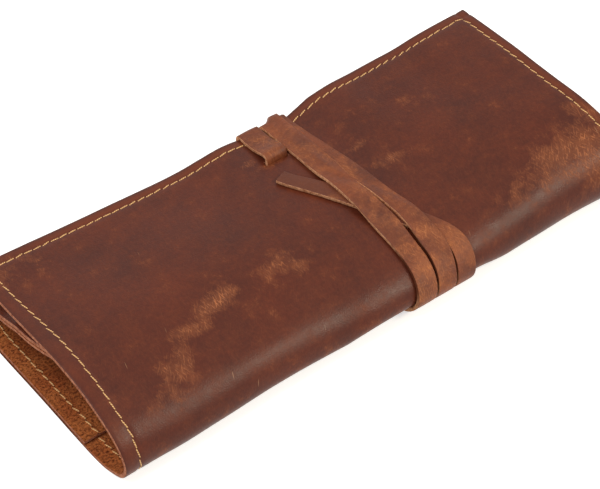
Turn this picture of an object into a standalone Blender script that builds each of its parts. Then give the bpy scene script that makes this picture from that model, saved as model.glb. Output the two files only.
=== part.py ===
"""Pencil roll: a soft leather case for pencils, folded in three and tied with a strap.

One leather sheet makes the top flap, the front fold, the bottom, the back fold and the inner
panel. A pocket ply is sewn inside the bottom, the back fold and the inner panel, and rows of
thread divide it into slots. X runs along the roll, the flap folds about the front edge at -Y,
and +Z is up. The origin is at the bottom, in the middle. All lengths are in metres.
"""

import math

import bmesh
import bpy
from mathutils import Matrix, Vector

# The roll as it lies folded.
ROLL_LENGTH = 0.215
ROLL_HALF_WIDTH = 0.0438
ROLL_HEIGHT = 0.0276

# Leather, thread and the clearances between touching pieces.
LEATHER = 0.0015
POCKET_LEATHER = 0.0012
PLY_GAP = 0.0003
FOLD_GAP = 0.0004
THREAD_RADIUS = 0.0003
SEAM_INSET = 0.004
SEAM_CORNER = 0.003
SEAM_END_MARGIN = 0.0012
FOLD_SEAM_LENGTH = 0.0175

# The strap.
STRAP_WIDTH = 0.0078
STRAP_THICKNESS = 0.0015
STRAP_GAP = 0.00045
STRAP_STEP = 0.003
STRAP_SIDE_GAP = 0.0008
STRAP_PITCH = STRAP_WIDTH + STRAP_SIDE_GAP
STRAP_TIP_WIDTH = 0.0057
STRAP_TAPER_LENGTH = 0.030
# Where it crosses the seam along the flap's back edge it rises clear of the thread.
SEAM_CLEARANCE = 0.0008
SEAM_SIDE_CLEARANCE = 0.004
SEAM_REACH = SEAM_INSET + SEAM_SIDE_CLEARANCE
SEAM_EASE = 0.006
# The strap holds the bottom off the table where it runs beneath.
STRAP_LIFT_EASE = 0.016
STRAP_LIFT = STRAP_THICKNESS + STRAP_GAP + PLY_GAP / 2

# The root: the strap's first stretch, which comes up through a slit in the flap. The places
# are distances from the flap's back edge. Its hidden end widens to a tab that can't be
# pulled through the slit.
ROOT_X = 0.0064
SLIT_FROM_EDGE = 0.0190
SLIT_RISE = 0.0055
SLIT_RISE_CLEARANCE = 0.0011
SLIT_SIDE_CLEARANCE = 0.0007
SLIT_OPENING = SLIT_RISE + SLIT_RISE_CLEARANCE
SLIT_LENGTH = STRAP_WIDTH + 2 * SLIT_SIDE_CLEARANCE
TAB_LENGTH = 0.009
TAB_SETBACK = 0.0062
TAB_END = SLIT_FROM_EDGE + SLIT_RISE / 2 + TAB_SETBACK
TAB_START = TAB_END + TAB_LENGTH
TAB_WIDTH = 0.014
TAB_EASE = 0.002

# The pocket: closed at the roll's left end, with its mouth towards the right.
POCKET_LENGTH = 0.1195
POCKET_MOUTH_X = POCKET_LENGTH - ROLL_LENGTH / 2
POCKET_SETBACK = 0.005
SLOT_SEAM_SETBACK = 0.003
SLOT_SEAMS_PER_STRETCH = 2

# Mesh fineness, and the small step that slopes are measured over.
LENGTH_STEP = 0.011
PANEL_STEP = 0.006
BEND_STEP = 0.0027
CURVE_SAMPLES = 12
CORNER_STEPS = 5
SEAM_CORNER_STEPS = 4
THREAD_STEP = 0.008
ROOT_STEP = 0.0012
WIDTH_SAMPLES = 4
SAME_TURN_LENGTH = 0.05
CUTTER_HEIGHT = 0.012
PROBE = 0.0005

# The grain face of the cover in cross-section, from the flap's free edge round to the inner
# panel's free edge: shares of the half width along Y and of the height along Z.
flap_shares = [
    (1.0, 1.0),
    (0.60, 0.993),
    (0.233, 1.0),
    (-0.10, 0.971),
    (-0.434, 0.866),
    (-0.758, 0.681),
]
front_fold_shares = [
    (-0.906, 0.522),
    (-0.982, 0.348),
    (-0.991, 0.203),
    (-0.927, 0.069),
    (-0.788, 0.007),
]
base_shares = [(-0.616, 0.0), (0.0, 0.0), (0.571, 0.0)]
back_fold_shares = [
    (0.776, 0.029),
    (0.927, 0.152),
    (0.995, 0.399),
    (0.941, 0.620),
    (0.788, 0.720),
]
inner_shares = [
    (0.605, 0.700),
    (0.434, 0.725),
    (0.251, 0.775),
    (0.068, 0.810),
    (-0.091, 0.800),
    (-0.297, 0.740),
]

# The hinge lines of the flap and the inner panel, as shares of the same two sizes.
flap_hinge_share = (-1.0046, 0.3623)
inner_hinge_share = (0.7763, 0.3986)

# How tall the roll stands along its length: shares of the half length and of the height.
crest_shares = [
    (-1.0, 1.04),
    (-0.56, 0.955),
    (0.0, 0.885),
    (0.37, 0.885),
    (0.70, 1.0),
    (1.0, 1.06),
]

# The strap's route: turns round the roll from the flap's back edge downwards, the place
# along X in strap pitches from the root, and how many layers of strap lie beneath it.
first_turn_shares = [
    (0.045, 0.00, 0),
    (0.190, 0.07, 0),
    (0.450, 0.60, 0),
    (0.500, 0.72, 0),
    (0.600, 1.29, 0),
    (0.655, 1.34, 0),
    (0.692, 1.31, 1),
    (0.760, 1.26, 1),
    (0.826, 1.17, 1),
    (0.861, 1.16, 0),
]
second_turn_shares = [
    (1.000, 1.16, 0),
    (1.190, 1.09, 0),
    (1.450, 1.59, 0),
    (1.500, 1.71, 0),
    (1.592, 2.27, 0),
    (1.621, 2.33, 1),
    (1.690, 2.31, 1),
    (1.715, 2.28, 2),
    (1.760, 2.05, 2),
    (1.833, 1.72, 2),
    (1.875, 1.57, 1),
    (1.950, 1.41, 1),
]
third_turn_shares = [
    (2.000, 1.33, 1),
    (2.030, 1.50, 1),
    (2.095, 2.11, 1),
    (2.150, 2.12, 0),
    (2.190, 2.13, 0),
    (2.450, 2.59, 0),
    (2.500, 2.72, 0),
    (2.600, 3.31, 0),
    (2.629, 3.27, 0),
    (2.758, 1.29, 0),
    (2.872, -0.57, 0),
]
# How far round from the flap's back edge the strap's root ends and its winding begins.
root_end_share = 0.040

LEATHER_COLOUR = (0.150, 0.043, 0.028)
SUEDE_COLOUR = (0.158, 0.050, 0.016)
STRAP_COLOUR = (0.172, 0.055, 0.027)
THREAD_COLOUR = (0.830, 0.578, 0.262)
leather_roughness_share = 0.50
suede_roughness_share = 0.95
strap_roughness_share = 0.55
thread_roughness_share = 0.70


def smooth_line(points):
    """A smooth line through the points, with CURVE_SAMPLES samples between each two."""
    ends = [2 * points[0] - points[1]] + points + [2 * points[-1] - points[-2]]
    line = []
    for before, start, end, after in zip(ends, ends[1:], ends[2:], ends[3:]):
        for step in range(CURVE_SAMPLES):
            t = step / CURVE_SAMPLES
            line.append(
                0.5
                * (
                    2 * start
                    + (end - before) * t
                    + (2 * before - 5 * start + 4 * end - after) * t ** 2
                    + (3 * start - before - 3 * end + after) * t ** 3
                )
            )
    line.append(points[-1])
    return line


def lengths_along(line):
    """The distance from the start of the line to each of its points."""
    lengths = [0.0]
    for start, end in zip(line, line[1:]):
        lengths.append(lengths[-1] + (end - start).length)
    return lengths


def read_line(line, lengths, distance):
    """The point on the line at this distance from its start."""
    distance = min(max(distance, 0.0), lengths[-1])
    index = 0
    while index < len(line) - 2 and lengths[index + 1] < distance:
        index += 1
    span = lengths[index + 1] - lengths[index]
    share = (distance - lengths[index]) / span
    return line[index].lerp(line[index + 1], share)


def section_point(share):
    return Vector((share[0] * ROLL_HALF_WIDTH, share[1] * ROLL_HEIGHT))


cover_shares = flap_shares + front_fold_shares + base_shares + back_fold_shares + inner_shares
COVER_POINTS = [section_point(share) for share in cover_shares]
COVER_LINE = [Vector((point.x, max(point.y, 0.0))) for point in smooth_line(COVER_POINTS)]
COVER_LENGTHS = lengths_along(COVER_LINE)


def distance_to_point(number):
    """How far along the cover its section point with this number lies."""
    return COVER_LENGTHS[number * CURVE_SAMPLES]


FLAP_POINTS = len(flap_shares)
BASE_POINTS = FLAP_POINTS + len(front_fold_shares)
BACK_FOLD_POINTS = BASE_POINTS + len(base_shares)
FLAP_END = distance_to_point(FLAP_POINTS - 1)
BASE_START = distance_to_point(BASE_POINTS)
BASE_END = distance_to_point(BACK_FOLD_POINTS - 1)
INNER_START = distance_to_point(BACK_FOLD_POINTS + len(back_fold_shares))
COVER_END = COVER_LENGTHS[-1]


def smoothstep(share):
    share = min(max(share, 0.0), 1.0)
    return share * share * (3 - 2 * share)


CREST_LINE = smooth_line(
    [Vector((x * ROLL_LENGTH / 2, height)) for x, height in crest_shares]
)


def crest(x):
    """The roll's height at x, as a share of ROLL_HEIGHT."""
    for start, end in zip(CREST_LINE, CREST_LINE[1:]):
        if x <= end.x:
            break
    return start.y + (end.y - start.y) * (x - start.x) / (end.x - start.x)


# The strap's stations: turns round the roll, place along X, and layers beneath.
TURNS = [
    Vector((turns, ROOT_X + pitches * STRAP_PITCH, layers))
    for turns, pitches, layers in first_turn_shares + second_turn_shares + third_turn_shares
]
LAYER_RISE = STRAP_THICKNESS + STRAP_GAP
STRAP_FIRST_X = TURNS[0].y - STRAP_WIDTH / 2
STRAP_LAST_X = max(station.y for station in TURNS) + STRAP_WIDTH / 2

# The origin lies midway between the strap's outermost reaches, in front and behind.
FRONT_REACH = STRAP_GAP + STRAP_THICKNESS - min(point.x for point in COVER_LINE)
BACK_REACH = ROLL_HALF_WIDTH + SEAM_CLEARANCE + STRAP_GAP + STRAP_THICKNESS + LAYER_RISE
SECTION_SHIFT = (FRONT_REACH - BACK_REACH) / 2


def strap_lift(x):
    """How far the strap holds the bottom off the table at x."""
    outside = max(STRAP_FIRST_X - x, x - STRAP_LAST_X)
    return STRAP_LIFT * (1 - smoothstep(outside / STRAP_LIFT_EASE))


def place(x, flat):
    """A point of the cross-section, carried to the roll's own height at x."""
    lift = strap_lift(x) * (1 - flat.y / ROLL_HEIGHT)
    return Vector((x, flat.x + SECTION_SHIFT, flat.y * crest(x) + lift))


def hinge_point(share):
    """A hinge line's middle. The line is straight, so it takes no height from the crest."""
    flat = section_point(share)
    return Vector((0.0, flat.x + SECTION_SHIFT, flat.y))


def cover_point(x, distance, depth):
    """The point at x and this distance along the cover, this deep under its grain face."""
    distance = min(max(distance, PROBE), COVER_END - PROBE)
    before, at, after = (
        read_line(COVER_LINE, COVER_LENGTHS, distance + step) for step in (-PROBE, 0, PROBE)
    )
    along = place(x, after) - place(x, before)
    across = place(x + PROBE, at) - place(x - PROBE, at)
    outward = along.cross(across).normalized()
    return place(x, at) - outward * depth


def hull_samples():
    """The closed line the strap is pulled round, as (point, outward direction) pairs.

    It starts at the flap's back edge, drops straight to the back fold, and follows the
    cover back along the bottom, the front fold and the flap.
    """
    corner = COVER_LINE[0]
    samples = []
    for step in range(CORNER_STEPS + 1):
        turn = math.pi / 2 * step / CORNER_STEPS
        samples.append((corner, Vector((math.sin(turn), math.cos(turn)))))
    back_fold = range(BASE_POINTS * CURVE_SAMPLES, len(COVER_LINE))
    outermost = max(back_fold, key=lambda index: COVER_LINE[index].x)
    for index in range(outermost, 0, -1):
        run = (COVER_LINE[index + 1] - COVER_LINE[index - 1]).normalized()
        samples.append((COVER_LINE[index], Vector((run.y, -run.x))))
    samples.append((corner, Vector((0.0, 1.0))))
    return samples


HULL = hull_samples()
HULL_LENGTHS = lengths_along(
    [point + outward * (STRAP_GAP + STRAP_THICKNESS / 2) for point, outward in HULL]
)


def hull_point(way, x, height):
    """The point this share of the way round the hull, this high above the leather."""
    distance = (way % 1) * HULL_LENGTHS[-1]
    index = 0
    while index < len(HULL) - 2 and HULL_LENGTHS[index + 1] < distance:
        index += 1
    span = HULL_LENGTHS[index + 1] - HULL_LENGTHS[index]
    share = (distance - HULL_LENGTHS[index]) / span
    start, end = HULL[index], HULL[index + 1]
    flat = start[0].lerp(end[0], share)
    outward = start[1].lerp(end[1], share)
    outward = Vector((0.0, outward.x, outward.y / crest(x))).normalized()
    return place(x, flat) + outward * height, outward


def way_of(distance):
    """The way round the hull of a point on the flap, from its distance to the back edge."""
    return 1 - distance / HULL_LENGTHS[-1]


def strap_station(way):
    """The strap's place along X and its layer at this way round, eased between stations."""
    index = 0
    while index < len(TURNS) - 2 and TURNS[index + 1].x < way:
        index += 1
    start, end = TURNS[index], TURNS[index + 1]
    share = (way - start.x) / (end.x - start.x)
    return start.y + (end.y - start.y) * share, start.z + (end.z - start.z) * smoothstep(share)


def strap_height(way, layer):
    """The height of the strap's middle over the leather; it bridges the flap's back seam."""
    along = (way % 1) * HULL_LENGTHS[-1]
    from_edge = min(along, HULL_LENGTHS[-1] - along)
    bridge = 1 - smoothstep((from_edge - SEAM_REACH) / SEAM_EASE)
    return STRAP_GAP + STRAP_THICKNESS / 2 + layer * LAYER_RISE + SEAM_CLEARANCE * bridge


def winding_stations():
    """Points, outward directions and widths along the winding, root side first."""
    start, end = TURNS[0].x, TURNS[-1].x
    length = (end - start) * HULL_LENGTHS[-1]
    steps = round(length / STRAP_STEP)
    stations = []
    for step in range(steps + 1):
        way = start + (end - start) * step / steps
        x, layer = strap_station(way)
        point, outward = hull_point(way, x, strap_height(way, layer))
        left = (end - way) * HULL_LENGTHS[-1]
        taper = 1 - smoothstep(left / STRAP_TAPER_LENGTH)
        width = STRAP_WIDTH + (STRAP_TIP_WIDTH - STRAP_WIDTH) * taper
        stations.append((point, outward, width))
    return stations


def root_stations():
    """Stations from the tab under the flap, up through the slit and over the back edge."""
    height_below = -LEATHER - STRAP_GAP - STRAP_THICKNESS / 2
    length = TAB_START + root_end_share * HULL_LENGTHS[-1]
    steps = round(length / ROOT_STEP)
    stations = []
    for step in range(steps + 1):
        distance = TAB_START - length * step / steps
        rise = smoothstep((SLIT_FROM_EDGE + SLIT_RISE / 2 - distance) / SLIT_RISE)
        height_above = strap_height(way_of(distance), 0)
        height = height_below + (height_above - height_below) * rise
        point, outward = hull_point(way_of(distance), ROOT_X, height)
        tab = smoothstep((distance - TAB_END) / TAB_EASE)
        width = STRAP_WIDTH + (TAB_WIDTH - STRAP_WIDTH) * tab
        stations.append((point, outward, width))
    return stations


def ribbon_edges(stations):
    """The two edge points of a flat ribbon at each station."""
    points = [point for point, _, _ in stations]
    edges = []
    for index, (point, outward, width) in enumerate(stations):
        run = points[min(index + 1, len(points) - 1)] - points[max(index - 1, 0)]
        across = run.cross(outward).normalized() * (width / 2)
        edges.append((point - across, point + across))
    return edges


def least_gap(stations):
    """The least clearance between parts of the ribbon that are far apart along it."""
    rows = []
    for (left, right), (_, outward, _) in zip(ribbon_edges(stations), stations):
        rise = outward * (STRAP_THICKNESS / 2)
        middles = [left.lerp(right, share / WIDTH_SAMPLES) for share in range(WIDTH_SAMPLES + 1)]
        rows.append([middle + side * rise for middle in middles for side in (-1, 1)])
    apart = round(SAME_TURN_LENGTH / STRAP_STEP)
    closest = min(
        (first - second).length
        for index, row in enumerate(rows)
        for other in rows[index + apart:]
        for first in row
        for second in other
    )
    return closest


def new_material(name, colour, roughness):
    material = bpy.data.materials.new(name)
    material.use_nodes = True
    shader = material.node_tree.nodes["Principled BSDF"]
    shader.inputs["Base Color"].default_value = (*colour, 1.0)
    shader.inputs["Roughness"].default_value = roughness
    shader.inputs["Metallic"].default_value = 0.0
    return material


def add_piece(name, data, collection, holder, material):
    """Put a mesh or curve in the collection as a named piece carried by its holder."""
    data.materials.append(material)
    piece = bpy.data.objects.new(name, data)
    collection.objects.link(piece)
    piece.parent = holder
    piece.matrix_parent_inverse = Matrix.Translation(-holder.location)
    return piece


def add_holder(name, location, collection):
    holder = bpy.data.objects.new(name, None)
    holder.location = location
    collection.objects.link(holder)
    return holder


def thicken(piece, thickness, offset):
    solid = piece.modifiers.new("thickness", "SOLIDIFY")
    solid.thickness = thickness
    solid.offset = offset
    solid.use_even_offset = True


def grid_mesh(name, columns, rows, locate):
    """A grid whose corner (0, 0) to (1, 1) is carried to the points that locate gives."""
    grid = bmesh.new()
    bmesh.ops.create_grid(grid, x_segments=columns, y_segments=rows, size=0.5)
    for vertex in grid.verts:
        vertex.co = locate(vertex.co.x + 0.5, vertex.co.y + 0.5)
    mesh = bpy.data.meshes.new(name)
    grid.to_mesh(mesh)
    grid.free()
    mesh.shade_smooth()
    return mesh


def add_panel(name, stretch, depth, thickness, x_end, step, collection, holder, material):
    """A stretch of leather between two distances along the cover, this deep inside it."""
    start, end = stretch
    x_start = -ROLL_LENGTH / 2
    columns = math.ceil((x_end - x_start) / LENGTH_STEP)
    rows = math.ceil((end - start) / step)

    def locate(across, along):
        return cover_point(x_start + (x_end - x_start) * across, end + (start - end) * along, depth)

    mesh = grid_mesh(name, columns, rows, locate)
    panel = add_piece(name, mesh, collection, holder, material)
    thicken(panel, thickness, -1.0)


def add_ribbon(name, stations, collection, holder, material):
    """A flat ribbon through the stations, which carry its middle, direction and width."""
    edges = ribbon_edges(stations)

    def locate(across, along):
        left, right = edges[round(along * (len(edges) - 1))]
        return left.lerp(right, across)

    mesh = grid_mesh(name, 1, len(edges) - 1, locate)
    ribbon = add_piece(name, mesh, collection, holder, material)
    thicken(ribbon, STRAP_THICKNESS, 0.0)


def add_run(route, end, longest):
    """Carry the route straight on to this point, in steps that are no longer than longest."""
    start = route[-1]
    steps = math.ceil((end - start).length / longest)
    route.extend(start.lerp(end, step / steps) for step in range(1, steps + 1))


def rounded_route(corners, longest):
    """Straight runs between the corners, with the inner corners rounded."""
    route = [corners[0]]
    for before, corner, after in zip(corners, corners[1:], corners[2:]):
        start = corner + (before - corner).normalized() * SEAM_CORNER
        end = corner + (after - corner).normalized() * SEAM_CORNER
        add_run(route, start, longest)
        for step in range(1, SEAM_CORNER_STEPS + 1):
            share = step / SEAM_CORNER_STEPS
            route.append(start.lerp(corner, share).lerp(corner.lerp(end, share), share))
    add_run(route, corners[-1], longest)
    return route


def add_thread(name, corners, longest, collection, holder, material):
    """A row of thread whose corners are (x, distance along the cover, depth) places."""
    curve = bpy.data.curves.new(name, "CURVE")
    curve.dimensions = "3D"
    curve.bevel_depth = THREAD_RADIUS
    curve.bevel_resolution = 1
    curve.use_fill_caps = True
    points = [cover_point(*corner) for corner in rounded_route(corners, longest)]
    spline = curve.splines.new("POLY")
    spline.points.add(len(points) - 1)
    for spline_point, point in zip(spline.points, points):
        spline_point.co = (*point, 1.0)
    add_piece(name, curve, collection, holder, material)


def cut_slit(panel, cutters):
    """Cut the slit that the strap's root comes up through."""
    middle, _ = hull_point(way_of(SLIT_FROM_EDGE), ROOT_X, 0.0)
    bpy.ops.mesh.primitive_cube_add(size=1.0, location=middle)
    cutter = bpy.context.object
    cutter.name = "slit_cutter"
    cutter.scale = (SLIT_LENGTH, SLIT_OPENING, CUTTER_HEIGHT)
    cutter.display_type = "WIRE"
    cutter.hide_render = True
    for collection in cutter.users_collection:
        collection.objects.unlink(cutter)
    cutters.objects.link(cutter)
    cut = panel.modifiers.new("slit", "BOOLEAN")
    cut.operation = "DIFFERENCE"
    cut.object = cutter


for old_object in list(bpy.data.objects):
    bpy.data.objects.remove(old_object)

roll = bpy.data.collections.new("pencil_roll")
cutters = bpy.data.collections.new("cutters")
bpy.context.scene.collection.children.link(roll)
bpy.context.scene.collection.children.link(cutters)

base = add_holder("base_origin", (0.0, 0.0, 0.0), roll)
flap = add_holder("flap_hinge", hinge_point(flap_hinge_share), roll)
inner = add_holder("inner_hinge", hinge_point(inner_hinge_share), roll)
strap = add_holder("strap_slide", (ROOT_X, 0.0, 0.0), roll)

leather = new_material("oiled_leather", LEATHER_COLOUR, leather_roughness_share)
suede = new_material("pocket_suede", SUEDE_COLOUR, suede_roughness_share)
strap_leather = new_material("strap_leather", STRAP_COLOUR, strap_roughness_share)
thread = new_material("gold_thread", THREAD_COLOUR, thread_roughness_share)

# The cover, parted at its folds, and the pocket ply inside it.
FRONT_FOLD = (FLAP_END + FOLD_GAP, BASE_START - FOLD_GAP)
BACK_FOLD = (BASE_END + FOLD_GAP, INNER_START - FOLD_GAP)
POCKET_START = BASE_START + POCKET_SETBACK
POCKET_DEPTH = LEATHER + PLY_GAP
cover_pieces = [
    ("flap_panel", (0.0, FLAP_END), PANEL_STEP, flap),
    ("front_fold", FRONT_FOLD, BEND_STEP, base),
    ("base_panel", (BASE_START, BASE_END), PANEL_STEP, base),
    ("back_fold", BACK_FOLD, BEND_STEP, base),
    ("inner_panel", (INNER_START, COVER_END), PANEL_STEP, inner),
]
pocket_pieces = [
    ("base_pocket", (POCKET_START, BASE_END), PANEL_STEP, base),
    ("back_fold_pocket", BACK_FOLD, BEND_STEP, base),
    ("inner_pocket", (INNER_START, COVER_END), PANEL_STEP, inner),
]
for name, stretch, step, holder in cover_pieces:
    add_panel(name, stretch, 0.0, LEATHER, ROLL_LENGTH / 2, step, roll, holder, leather)
for name, stretch, step, holder in pocket_pieces:
    add_panel(
        name, stretch, POCKET_DEPTH, POCKET_LEATHER, POCKET_MOUTH_X, step, roll, holder, suede
    )
cut_slit(roll.objects["flap_panel"], cutters)

# The rows of thread, over the grain face or over the inner faces of cover and pocket.
SEAM_X = ROLL_LENGTH / 2 - SEAM_INSET
ON_GRAIN = -PLY_GAP - THREAD_RADIUS
IN_COVER = LEATHER + PLY_GAP + THREAD_RADIUS
IN_POCKET = POCKET_DEPTH + POCKET_LEATHER + PLY_GAP + THREAD_RADIUS
FLAP_SEAM_END = FLAP_END - SEAM_END_MARGIN
FOLD_SEAM_START = FRONT_FOLD[0] + SEAM_END_MARGIN
FOLD_SEAM_END = FOLD_SEAM_START + FOLD_SEAM_LENGTH
BASE_SEAM_START = BASE_START + SEAM_END_MARGIN
BASE_SEAM_END = BASE_END - SEAM_END_MARGIN
BACK_SEAM = (BACK_FOLD[0] + SEAM_END_MARGIN, BACK_FOLD[1] - SEAM_END_MARGIN)
INNER_SEAM_START = INNER_START + SEAM_END_MARGIN
INNER_SEAM_EDGE = COVER_END - SEAM_INSET
seams = [
    (
        "flap_seam",
        flap,
        ON_GRAIN,
        [
            (-SEAM_X, FLAP_SEAM_END),
            (-SEAM_X, SEAM_INSET),
            (SEAM_X, SEAM_INSET),
            (SEAM_X, FLAP_SEAM_END),
        ],
    ),
    (
        "base_seam_left",
        base,
        IN_POCKET,
        [(-SEAM_X, POCKET_START + SEAM_END_MARGIN), (-SEAM_X, BASE_SEAM_END)],
    ),
    ("base_seam_right", base, IN_COVER, [(SEAM_X, BASE_SEAM_START), (SEAM_X, BASE_SEAM_END)]),
    (
        "inner_seam",
        inner,
        ON_GRAIN,
        [
            (-SEAM_X, INNER_SEAM_START),
            (-SEAM_X, INNER_SEAM_EDGE),
            (SEAM_X, INNER_SEAM_EDGE),
            (SEAM_X, INNER_SEAM_START),
        ],
    ),
]
for name, holder, depth, corners in seams:
    route = [Vector((*corner, depth)) for corner in corners]
    add_thread(name, route, THREAD_STEP, roll, holder, thread)
fold_seams = [
    ("fold_seam_left", -SEAM_X, ON_GRAIN, FOLD_SEAM_START, FOLD_SEAM_END),
    ("fold_seam_right", SEAM_X, ON_GRAIN, FOLD_SEAM_START, FOLD_SEAM_END),
    ("back_seam_left", -SEAM_X, IN_POCKET, *BACK_SEAM),
    ("back_seam_right", SEAM_X, IN_COVER, *BACK_SEAM),
]
for name, x, depth, start, end in fold_seams:
    route = [Vector((x, start, depth)), Vector((x, end, depth))]
    add_thread(name, route, BEND_STEP, roll, base, thread)

# The rows of thread that divide the pocket into slots for pencils.
SLOT_SEAM_X = (-SEAM_X + SLOT_SEAM_SETBACK, POCKET_MOUTH_X - SLOT_SEAM_SETBACK)
slot_stretches = [
    ("base", base, POCKET_START, BASE_END),
    ("back_fold", base, *BACK_FOLD),
    ("inner", inner, INNER_START, COVER_END),
]
for stretch, holder, start, end in slot_stretches:
    for number in range(1, SLOT_SEAMS_PER_STRETCH + 1):
        distance = start + (end - start) * number / (SLOT_SEAMS_PER_STRETCH + 1)
        route = [Vector((x, distance, IN_POCKET)) for x in SLOT_SEAM_X]
        add_thread(f"{stretch}_slot_seam_{number}", route, THREAD_STEP, roll, holder, thread)

# The strap: its root stays in the flap's slit, and the winding can be slipped off.
add_ribbon("strap_root", root_stations(), roll, flap, strap_leather)
winding = winding_stations()
add_ribbon("tie_strap", winding, roll, strap, strap_leather)
print(f"tie_strap: least gap to itself {least_gap(winding) * 1000:.2f} mm")
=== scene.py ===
"""Looks of an oiled leather pencil roll: a folded cover, a sewn pocket and a wound tie strap."""

import math

import bpy
import numpy as np
from mathutils import Matrix, Vector


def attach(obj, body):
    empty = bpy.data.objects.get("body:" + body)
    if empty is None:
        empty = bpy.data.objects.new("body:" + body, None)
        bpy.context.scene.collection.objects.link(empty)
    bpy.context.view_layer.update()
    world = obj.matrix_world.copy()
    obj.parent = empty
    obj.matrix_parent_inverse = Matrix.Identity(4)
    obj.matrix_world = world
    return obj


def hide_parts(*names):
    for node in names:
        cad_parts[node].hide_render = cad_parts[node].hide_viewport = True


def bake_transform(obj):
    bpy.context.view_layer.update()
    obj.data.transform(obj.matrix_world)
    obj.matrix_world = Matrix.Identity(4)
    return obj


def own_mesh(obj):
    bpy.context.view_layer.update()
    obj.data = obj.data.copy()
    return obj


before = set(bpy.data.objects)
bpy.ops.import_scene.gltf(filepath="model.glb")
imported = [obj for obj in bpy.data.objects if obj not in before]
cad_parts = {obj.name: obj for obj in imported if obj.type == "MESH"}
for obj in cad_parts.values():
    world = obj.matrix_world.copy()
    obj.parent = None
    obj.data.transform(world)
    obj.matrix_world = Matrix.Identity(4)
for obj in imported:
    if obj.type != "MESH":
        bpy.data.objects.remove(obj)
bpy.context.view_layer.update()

# Sizes of the roll, in metres, as in the solid model.
MM = 0.001
ROLL_LENGTH = 0.215
ROLL_HALF_WIDTH = 0.0438
ROLL_HEIGHT = 0.0276
LEATHER = 0.0015
POCKET_LEATHER = 0.0012
PLY_GAP = 0.0003
STRAP_WIDTH = 0.0078
STRAP_THICKNESS = 0.0015
STRAP_GAP = 0.00045
STRAP_PITCH = 0.0086
STRAP_TIP_WIDTH = 0.0057
STRAP_TAPER_LENGTH = 0.030
ROOT_X = 0.0064
POCKET_LENGTH = 0.1195
POCKET_MOUTH_X = POCKET_LENGTH - ROLL_LENGTH / 2
HALF_LENGTH = ROLL_LENGTH / 2

# The seams keep less evenly to the cut edges than the solid model's.
SEAM_INSET = 0.0037
LEFT_SEAM_X = -HALF_LENGTH + 0.0046
RIGHT_SEAM_X = HALF_LENGTH - 0.0037

# The cover's grain face in cross-section, from the flap's back edge round to the inner
# panel's free edge, as shares of the half width and of the height.
flap_shares = [(1.0, 1.0), (0.60, 0.993), (0.233, 1.0), (-0.10, 0.971), (-0.434, 0.866)]
flap_shares += [(-0.758, 0.681)]
front_fold_shares = [(-0.906, 0.522), (-0.982, 0.348), (-0.991, 0.203), (-0.927, 0.069)]
front_fold_shares += [(-0.788, 0.007)]
base_shares = [(-0.616, 0.0), (0.0, 0.0), (0.571, 0.0)]
back_fold_shares = [(0.776, 0.029), (0.927, 0.152), (0.995, 0.399), (0.941, 0.620)]
back_fold_shares += [(0.788, 0.720)]
inner_shares = [(0.605, 0.700), (0.434, 0.725), (0.251, 0.775), (0.068, 0.810)]
inner_shares += [(-0.091, 0.800), (-0.297, 0.740)]

# How tall the roll stands along its length: shares of the half length and of the height.
crest_shares = [(-1.0, 1.04), (-0.56, 0.955), (0.0, 0.885), (0.37, 0.885), (0.70, 1.0)]
crest_shares += [(1.0, 1.06)]

# The flap's back edge along the roll, as (x, distance) in mm: how far it stands above the
# plain section, and how far the taut strap draws it down and inward.
edge_rises = [(-108, -0.5), (-44, -1.5), (-24, -1.4), (-14, -0.4), (-5, 0.3), (25, 0.9)]
edge_rises += [(34, 2.7), (44, 3.5), (54, 2.7), (64, 2.0), (73, 1.4), (83, 1.7), (93, 1.5)]
edge_rises += [(108, 1.0)]
edge_pulls = [(-6, 0.0), (-1, 0.3), (3, 0.8), (6, 1.2), (9, 1.7), (12, 2.0), (15, 2.0), (18, 1.9)]
edge_pulls += [(21, 1.7), (24, 1.2), (27, 0.6), (30, 0.2), (34, 0.0)]
# How much of that pull goes downward and how much inward.
PULL_DOWN, PULL_IN = 0.8, 0.6

# The leather's own bulges over the plain section: (x, way, half sizes, outward), in mm.
bulges = [
    (100, 66, 44, 30, 1.9),
    (112, 84, 34, 18, 1.6),
    (110, 78, 30, 36, 1.4),
    (110, 20, 36, 60, 0.8),
    (60, 84, 26, 12, 0.35),
    (-52, 84, 40, 12, 0.35),
    (-42, 98, 46, 22, -1.3),
    (-107, 36, 30, 34, -1.0),
    (-60, 40, 34, 26, -0.35),
    (80, 30, 30, 26, -0.5),
    (-20, 60, 22, 20, 0.25),
]
# Its finer unevenness: (height, size across) in mm, and a random seed.
hills = [(0.30, 34, 5), (0.10, 11, 8)]
# How far the left seam wanders inward: (way, distance), in mm.
seam_wanders = [(0, 0.2), (22, 0.7), (45, 1.7), (72, 1.4), (98, 1.2), (125, 0.8), (150, 0.3)]
seam_wanders += [(253, 0)]

# How far the two end cuts stray outward from square, and how far the inner panel's left end
# curls up to the flap: (way, distance), in mm.
right_strays = [(0, -0.3), (27, 0.3), (50, 1.2), (75, 3.4), (100, 3.6), (125, 1.5), (140, 0)]
right_strays += [(253, 0)]
left_strays = [(0, 0), (80, 0), (100, 0.6), (112, 1.6), (125, 1.6), (145, 1.1), (165, 0.8)]
left_strays += [(190, 0.4), (208, 0), (222, 0), (229, 0), (236, -0.8), (244, -2.6), (253, -3.4)]
inner_rises = [(0, 0), (200, 0), (208, -0.6), (213, 0.4), (221.7, 1.9), (229, 1.5), (236, 1.2)]
inner_rises += [(245, 1.4), (253, 1.6)]

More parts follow.
